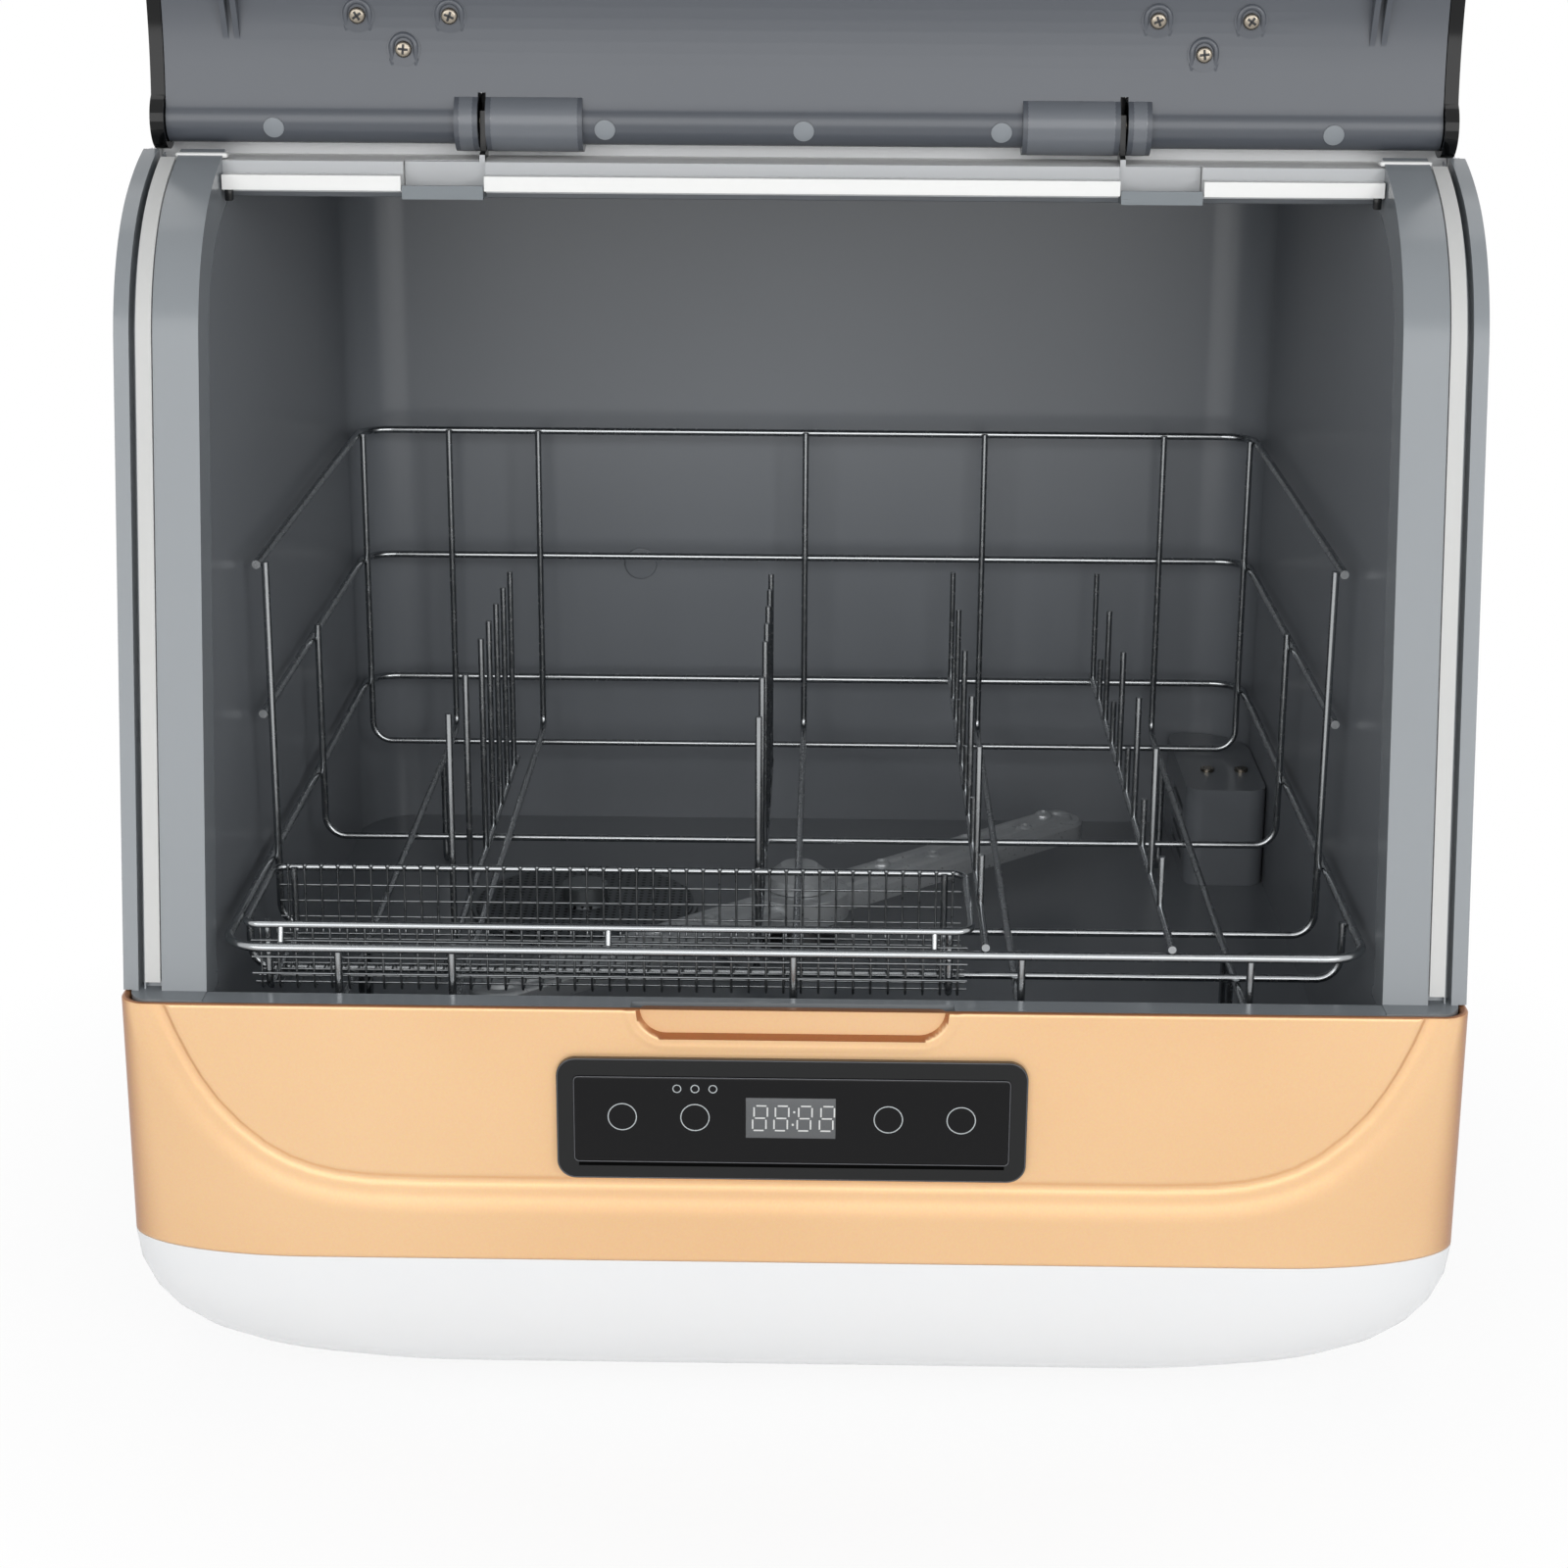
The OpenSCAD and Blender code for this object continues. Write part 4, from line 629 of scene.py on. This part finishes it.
# the water inlet's rose, clipped over its hole in the tub's back wall
rose = add("cylinder", "rose", vertices=64, radius=0.0068, depth=0.0018, location=at(-70, 357.6, 60),
           rotation=(math.pi / 2, 0, 0))
settle(rose)
pick(rose, lambda c, n: n.y < -0.9)
bpy.ops.mesh.bevel(offset=0.0005, segments=4, profile=0.5, affect="EDGES")
done()
finished(smooth(rose, 40), "cabinet", TUB_PP)

# ---------------------------------------------------------------- control panel
bezel = smooth_twin("control_bezel", "cabinet", BLACK_SATIN, 30)
modify(bezel, "BEVEL", width=0.0006, segments=3, limit_method="ANGLE", angle_limit=math.radians(50))
smooth(bezel, 35)
# height of the panel's middle, and how far forward its print and its figures lie
PANEL_Z, PRINT_Y, FIGURE_Y = -37.5, -2.06, -2.14
face = rounded_slab("key_panel", (0.1412, 0.0026, 0.0302), at(0, -0.7, PANEL_Z), 0.0009, 4)
finished(face, "cabinet", PANEL_BLACK, ("control_panel",))
rings = []
for xs, up, radius, line, steps in (((-54.7, -31.2, 31.2, 54.7), 1, 0.00457, 0.00018, 72),
                                    ((-37.0, -31.2, -25.4), 11, 0.00128, 0.00017, 40)):
    for x in xs:
        rings.append(add("torus", "ring", major_radius=radius, minor_radius=line, major_segments=steps,
                         minor_segments=8, location=at(x, PRINT_Y, PANEL_Z + up), rotation=(math.pi / 2, 0, 0)))
finished(smooth(joined(rings, "key_rings"), 60), "cabinet", PRINT)


def rim(name, hx, hz, r, y, thick):
    """A hair-thin grey line round a rectangle, a painted highlight on an edge, hx and hz half its sides and r its
    corners' radius.
    """
    loop = []
    for cx, cz, a0 in ((hx - r, hz - r, 0), (r - hx, hz - r, 90), (r - hx, r - hz, 180), (hx - r, r - hz, 270)):
        for k in range(9):
            a = math.radians(a0 + 90 * k / 8)
            loop.append(at(cx + r * math.cos(a), y, PANEL_Z + cz + r * math.sin(a)))
    loop.append(loop[0])
    finished(wire(name, loop, thick / 1000, 0, 8), "cabinet", EDGE_HIGHLIGHT)


# painted shadow: a dark strip in the gap under the key panel's lower edge
KEY_PANEL_SHADOW = moulded("black_painted_shadow_under_key_panel", "#040404", 0.9, grain_mm=0.4, grain=0.01, shade=0.02,
                       **{"Specular IOR Level": 0.05})
gap = rounded_slab("key_panel_shadow_strip", (0.1380, 0.0004, 0.0013), at(0, -1.50, PANEL_Z - 15.9), 0.00015, 2)
finished(gap, "cabinet", KEY_PANEL_SHADOW)
# painted highlight: a paler grey drawn as thin lines along the bezel's and the key panel's edges
EDGE_HIGHLIGHT = moulded("painted_highlight_on_black_abs_edges", "#55565A", 0.2, grain_mm=2.0, grain=0.0005, shade=0.03)
rim("bezel_edge", 75.7, 20.7, 5.9, -1.45, 0.22)
rim("key_panel_edge", 70.3, 14.8, 1.5, -1.95, 0.17)
window = rounded_slab("display_window", (0.0290, 0.0006, 0.0140), at(-0.3, -1.86, PANEL_Z + 1.1), 0.00015, 2)
finished(window, "cabinet", LED_BACK)


def make_digits():
    """Four seven-segment figures and a colon, all segments showing, as an unlit display has."""
    bars = []
    mid, lean = PANEL_Z + 1.1, math.tan(math.radians(6))
    w, h, t = 4.3, 8.6, 0.52
    spots = [(0, h / 2, True), (0, 0, True), (0, -h / 2, True), (-w / 2, h / 4, False), (w / 2, h / 4, False),
             (-w / 2, -h / 4, False), (w / 2, -h / 4, False)]
    for cx in (-10.2, -3.3, 4.2, 11.4):
        for dx, dz, flat in spots:
            size = (w - 1.0, 0.3, t) if flat else (t, 0.3, h / 2 - 1.0)
            bars.append(rounded_slab("bar", tuple(s / 1000 for s in size),
                                     at(cx + dx + dz * lean, FIGURE_Y, mid + dz), 0.00012, 2))
    for dz in (2.2, -2.2):
        bars.append(rounded_slab("bar", (0.00075, 0.0003, 0.00075), at(0.6 + dz * lean, FIGURE_Y, mid + dz),
                                 0.00025, 3))
    return joined(bars, "display_figures")


finished(make_digits(), "cabinet", LED_BAR)


# ---------------------------------------------------------------- lid fittings
def cross_screw(name, head_r, head_h):
    """A pan head with a cross recess, standing on Z."""
    head = add("cylinder", name, vertices=40, radius=head_r, depth=head_h, location=(0, 0, head_h / 2))
    settle(head)
    pick(head, lambda a, b: a.z > head_h * 0.9 and b.z > head_h * 0.9, "EDGE")
    bpy.ops.mesh.bevel(offset=head_h * 0.6, segments=5, profile=0.5, affect="EDGES")
    done()
    cuts = []
    for turn in (0, math.pi / 2):
        c = add("cube", "cut", size=1, location=(0, 0, head_h), rotation=(0, 0, turn))
        c.scale = (head_r * 1.2, head_r * 0.3, head_h * 1.3)
        cuts.append(c)
    cutter = joined(cuts, "cutter")
    modify(head, "BOOLEAN", operation="DIFFERENCE", object=cutter, solver="EXACT", use_self=True)
    bpy.data.objects.remove(cutter, do_unlink=True)
    return smooth(head, 35)


SCREWS = [(s * x, h) for s in (-1, 1) for x, h in ((145, 35.2), (115, 35.2), (130.3, 24.6))]


def screw_places(lift):
    """The six screws' places, lifted off the panel in metres, each turned its own way."""
    return [on_lid(x, h) @ Matrix.Translation((0, 0, lift)) @ Matrix.Rotation(x * 0.7, 4, "Z") for x, h in SCREWS]


heads = repeated(cross_screw("lid_screw", 0.0027, 0.0018), screw_places(0.0004), "lid_screw_heads")
finished(heads, "lid", SCREW_STEEL, ("lid_screws",))
# painted shade: a dark cross set into each screw head's recess
cross = joined([rounded_slab("cross", size, (0, 0, 0), 0.00008, 2)
                for size in ((0.0031, 0.0008, 0.0002), (0.0008, 0.0031, 0.0002))], "cross")
finished(repeated(cross, screw_places(0.00205), "screw_recess_shade"), "lid", DARK_PP)
# dark blocks behind the slots that the clips' ears pass through: painted shade, so that the slots show dark
slot_shade_pieces = [rounded_slab("stop", (0.0028, 0.0016, 0.0130), at(s * 105, HINGE.x + 6.6, HINGE.y + 4.5), 0.0003, 2)
         for s in (-1, 1)]
finished(joined(slot_shade_pieces, "slot_shade_blocks"), "lid", DARK_PP)


def screw_pocket():
    """A raised arch round a screw: half a ring whose ends run straight towards the hinge."""
    arch = add("torus", "pocket", major_radius=0.0039, minor_radius=0.0011, major_segments=40, minor_segments=10,
               location=(0, 0, 0.0006))
    edit_all(arch)
    bpy.ops.mesh.bisect(plane_co=(0, 0, 0), plane_no=(0, 1, 0), clear_inner=True)
    done()
    pick(arch, lambda a, b: abs(a.y) < 1e-6 and abs(b.y) < 1e-6, "EDGE")
    bpy.ops.mesh.extrude_region_move(TRANSFORM_OT_translate={"value": (0, -0.0075, -0.0012)})
    bpy.ops.mesh.edge_face_add()
    done()
    return smooth(arch, 50)


arches = repeated(screw_pocket(), [on_lid(x, h) for x, h in SCREWS], "screw_pockets")
finished(arches, "lid", LID_PP)

# the knuckles' outer skins, their ends rolled over, painted a lighter grey than the lid panel as painted light
knuckles = []
for x0, x1 in ((71.9, 103.7), (106.3, 114.1)):
    for s in (-1, 1):
        k = add("cylinder", "knuckle", vertices=96, radius=0.00985, depth=(x1 - x0) / 1000,
                location=at(s * (x0 + x1) / 2, HINGE.x, HINGE.y), rotation=(0, math.pi / 2, 0))
        settle(k)
        pick(k, lambda c, n: abs(n.x) > 0.9)
        bpy.ops.mesh.bevel(offset=0.0022, segments=6, profile=0.5, affect="EDGES")
        done()
        knuckles.append(smooth(k, 40))
finished(joined(knuckles, "knuckle_skins"), "lid", LIGHTER_KNUCKLE_PP)

# round marks that the mould's ejector pins left on the rolled edge
marks = []
for x in (-173.4, -64.7, 0.4, 65.1, 173.4):
    o = add("cylinder", "mark", vertices=36, radius=0.0034, depth=0.0005)
    pick(o, lambda a, b: True, "EDGE")
    bpy.ops.mesh.bevel(offset=0.00012, segments=2, affect="EDGES")
    done()
    o.data.transform(Matrix.Translation(at(x, HINGE.x, HINGE.y)) @ Matrix.Rotation(math.radians(105), 4, "X")
                     @ Matrix.Translation((0, 0, 0.00752)))
    marks.append(o)
MARK_PP = moulded("paler_ejector_mark_polypropylene", "#8B9095", 0.4)
finished(smooth(joined(marks, "ejector_marks"), 40), "lid", MARK_PP)


# ---------------------------------------------------------------- cutlery basket of woven wire
def make_basket():
    """41 cross wires bent into a trough, 15 long wires woven to them, and weld beads."""
    thick, front, rear, floor_z = 0.0004, 20.8, 73.2, -2.6
    cross_xs = [(-173.5 + 227.0 * i / 40) / 1000 for i in range(41)]
    profile = [(front, 20.2), (front, floor_z), (rear, floor_z), (rear, 21.6)]
    first = wire("w", [at(0, y, z) for y, z in profile], thick, 0.0022, 6)
    wires = [copy_of(first, (x, 0, 0)) for x in cross_xs]
    bpy.data.objects.remove(first, do_unlink=True)
    side_zs = (3.2, 8.9, 14.6)
    rows = [(front - 0.8, z) for z in side_zs]
    rows += [(y, floor_z + 0.8) for y in (25.5, 31.2, 36.9, 42.6, 48.3, 54.0, 59.7, 65.4, 70.6)]
    rows += [(rear + 0.8, z) for z in side_zs]
    for y, z in rows:
        wires.append(wire("w", [at(-176.5, y, z), at(56.5, y, z)], thick, 0, 6))
    # weld beads where the cross wires meet the rear rim
    bead = add("uv_sphere", "bead", segments=8, ring_count=6, radius=0.0009, location=at(0, 74.2, 21.4))
    settle(bead)
    smooth(bead, 80)
    wires += [copy_of(bead, (x, 0, 0)) for x in cross_xs]
    bpy.data.objects.remove(bead, do_unlink=True)
    return joined(wires, "woven_basket")


finished(make_basket(), "basket", MESH_STEEL, ("basket_mesh",))


# ---------------------------------------------------------------- spray arm
def stepped(*steps):
    """Insets the selected faces and raises them, step by step: pairs of inset and rise."""
    for inset, rise in steps:
        bpy.ops.mesh.inset(thickness=inset)
        if rise:
            bpy.ops.transform.translate(value=(0, 0, rise))


def make_arm():
    """A pressed arm with a raised rib, a hub and ten nozzles, at the slant that the photograph shows."""
    arm = add("circle", "pressed_spray_arm", vertices=96, radius=0.011, fill_type="NGON")
    settle(arm)
    for s in (1, -1):
        pick(arm, lambda c: c.x * s > 1e-5, "VERT")
        bpy.ops.transform.translate(value=(s * 0.141, 0, 0))
        done()
    pick(arm, lambda c, n: True)
    bpy.ops.mesh.extrude_region_move(TRANSFORM_OT_translate={"value": (0, 0, 0.0062)})
    stepped((0.0012, 0.0012), (0.0028, 0), (0.0008, 0.0016), (0.0030, 0), (0.0007, -0.0012))
    done()
    modify(arm, "BEVEL", width=0.0003, segments=2, limit_method="ANGLE", angle_limit=math.radians(25))
    outward(arm)
    hub = add("cylinder", "hub", vertices=64, radius=0.019, depth=0.0098, location=(0, 0, 0.0049))
    settle(hub)
    pick(hub, lambda c, n: n.z > 0.9)
    stepped((0.004, 0.0012), (0.0035, -0.001))
    done()
    modify(hub, "BEVEL", width=0.0005, segments=3, limit_method="ANGLE", angle_limit=math.radians(30))
    parts = [smooth(arm, 35), smooth(hub, 35)]
    dome = add("uv_sphere", "nozzle", segments=24, ring_count=12, radius=0.0036)
    dome.scale = (1, 1, 0.55)
    settle(dome)
    pick(dome, lambda c, n: c.z > 0.00165)
    stepped((0.0002, -0.0018))
    done()
    smooth(dome, 40)
    for s in (-1, 1):
        for u, v in ((138, 4), (120, -3), (92, 3), (68, -3), (46, 3)):
            parts.append(copy_of(dome, (s * u / 1000, s * v / 1000, 0.0082)))
    bpy.data.objects.remove(dome, do_unlink=True)
    whole = joined(parts, "pressed_spray_arm")
    whole.data.transform(Matrix.Translation(at(0, 187, -35)) @ Matrix.Rotation(math.radians(42.5), 4, "Z"))
    return whole


finished(make_arm(), "spray_arm", ARM_STEEL, ("spray_arm",))


# ---------------------------------------------------------------- filter screen on the tub floor
def etched_screen():
    """Etched stainless sheet: 1.2 mm holes on a 3 mm grid, dark where one looks through."""
    m, t = new_material("etched_stainless_screen")
    place = node(t, "TexCoord").outputs["Object"]
    cells = node(t, "TexVoronoi", {"Vector": place, "Scale": 1000 / 3.2, "Randomness": 0.0},
                 voronoi_dimensions="2D")
    hole = node(t, "MapRange", {"Value": cells.outputs["Distance"], "From Min": 0.20, "From Max": 0.26})
    colour = node(t, "Mix", {"Factor": hole.outputs[0], 6: linear("#0B0B0C"), 7: linear("#6F7376")},
                  data_type="RGBA")
    bump = node(t, "Bump", {"Height": hole.outputs[0], "Strength": 0.6, "Distance": 0.0003})
    shader = node(t, "BsdfPrincipled", {"Base Color": colour.outputs[2], "Metallic": 0.7, "Roughness": 0.4,
                                        "Normal": bump.outputs[0]})
    close(t, shader)
    return m


screen = add("cylinder", "filter_screen", vertices=96, radius=0.0435, depth=0.0008, location=at(-86, 240, -51.2))
settle(screen)
pick(screen, lambda c, n: n.z > 0.9)
stepped((0.0335, 0), (0.0006, 0.0012))
done()
modify(screen, "BEVEL", width=0.0002, segments=2, limit_method="ANGLE", angle_limit=math.radians(30))
finished(smooth(screen, 35), "filter", etched_screen())

# ---------------------------------------------------------------- floor, backdrop, light and camera
floor = add("plane", "floor", size=12, location=(0, 0, 0))
m, t = new_material("white_paper_floor")
seen = seen_share(t)
place = node(t, "TexCoord").outputs["Object"]
# the paper shows its shading near the object and burns out to white away from it
away = node(t, "VectorMath", {0: place, 1: (0, 0.03, 0)}, operation="DISTANCE")
away = node(t, "MapRange", {"Value": away.outputs["Value"], "From Min": 0.26, "From Max": 0.40,
                            "To Min": 0.89, "To Max": 1.0})
grain = node(t, "TexNoise", {"Vector": place, "Scale": 300.0})
paper = node(t, "Mix", {"Factor": grain.outputs["Fac"], 6: linear("#F4F4F4"), 7: linear("#FDFDFD")},
             data_type="RGBA")
soft = node(t, "BsdfDiffuse", {"Color": paper.outputs[2]})
glow = node(t, "Emission", {"Color": (1, 1, 1, 1), "Strength": 1.0})
share = node(t, "Math", {0: seen.outputs[0], 1: away.outputs[0]}, operation="MULTIPLY")
close(t, node(t, "MixShader", {0: share.outputs[0], 1: soft.outputs[0], 2: glow.outputs[0]}))
floor.data.materials.append(m)

world = bpy.data.worlds.new("studio")
bpy.context.scene.world = world
world.use_nodes = True
t = world.node_tree
t.nodes.clear()
seen = seen_share(t)
around = node(t, "Background", {"Color": (0.96, 0.98, 1.0, 1), "Strength": 0.45})
white = node(t, "Background", {"Color": (1, 1, 1, 1), "Strength": 1.0})
mixed = node(t, "MixShader", {0: seen.outputs[0], 1: around.outputs[0], 2: white.outputs[0]})
node(t, "OutputWorld", {"Surface": mixed.outputs[0]})


def lamp(name, where, aim, size, watts):
    """A white soft box."""
    light = bpy.data.lights.new(name, "AREA")
    light.shape = "RECTANGLE"
    light.size, light.size_y = size
    light.energy = watts
    obj = bpy.data.objects.new(name, light)
    bpy.context.collection.objects.link(obj)
    obj.location = where
    obj.rotation_euler = (Vector(aim) - Vector(where)).to_track_quat("-Z", "Y").to_euler()


lamp("front_box", (0.0, -2.6, 0.85), (0, 0, 0.26), (2.8, 1.5), 27)
lamp("left_key", (-1.15, -1.7, 0.85), (0.1, 0, 0.26), (0.35, 0.5), 3)
lamp("right_key", (1.15, -1.7, 0.85), (-0.1, 0, 0.26), (0.35, 0.5), 5)
lamp("top_box", (0.0, 0.3, 2.2), (0, 0.1, 0.3), (1.6, 1.2), 7)
lamp("rear_box", (0.0, 2.4, 1.2), (0, 0, 0.25), (1.6, 1.0), 14)

# the photograph's camera, solved from the object's own edges
pitch, yaw, roll = math.radians(17.73), math.radians(-0.86), math.radians(0.339)
ahead = Vector((math.sin(yaw) * math.cos(pitch), math.cos(yaw) * math.cos(pitch), -math.sin(pitch)))
right = Vector((math.cos(yaw), -math.sin(yaw), 0))
up = right.cross(ahead)
side = right * math.cos(roll) + up * math.sin(roll)
top = up * math.cos(roll) - right * math.sin(roll)
cam_data = bpy.data.cameras.new("camera")
cam_data.sensor_fit = "HORIZONTAL"
cam_data.sensor_width = 36.0
cam_data.lens = 3100.0 / 1600.0 * cam_data.sensor_width
cam_data.clip_start = 0.01
cam = bpy.data.objects.new("camera", cam_data)
bpy.context.collection.objects.link(cam)
cam.matrix_world = Matrix.Translation(at(10.43, -902.9, 364.9)) @ Matrix((
    (side.x, top.x, -ahead.x, 0), (side.y, top.y, -ahead.y, 0), (side.z, top.z, -ahead.z, 0), (0, 0, 0, 1)))
bpy.context.scene.camera = cam
bpy.context.scene.view_settings.view_transform = "Standard"
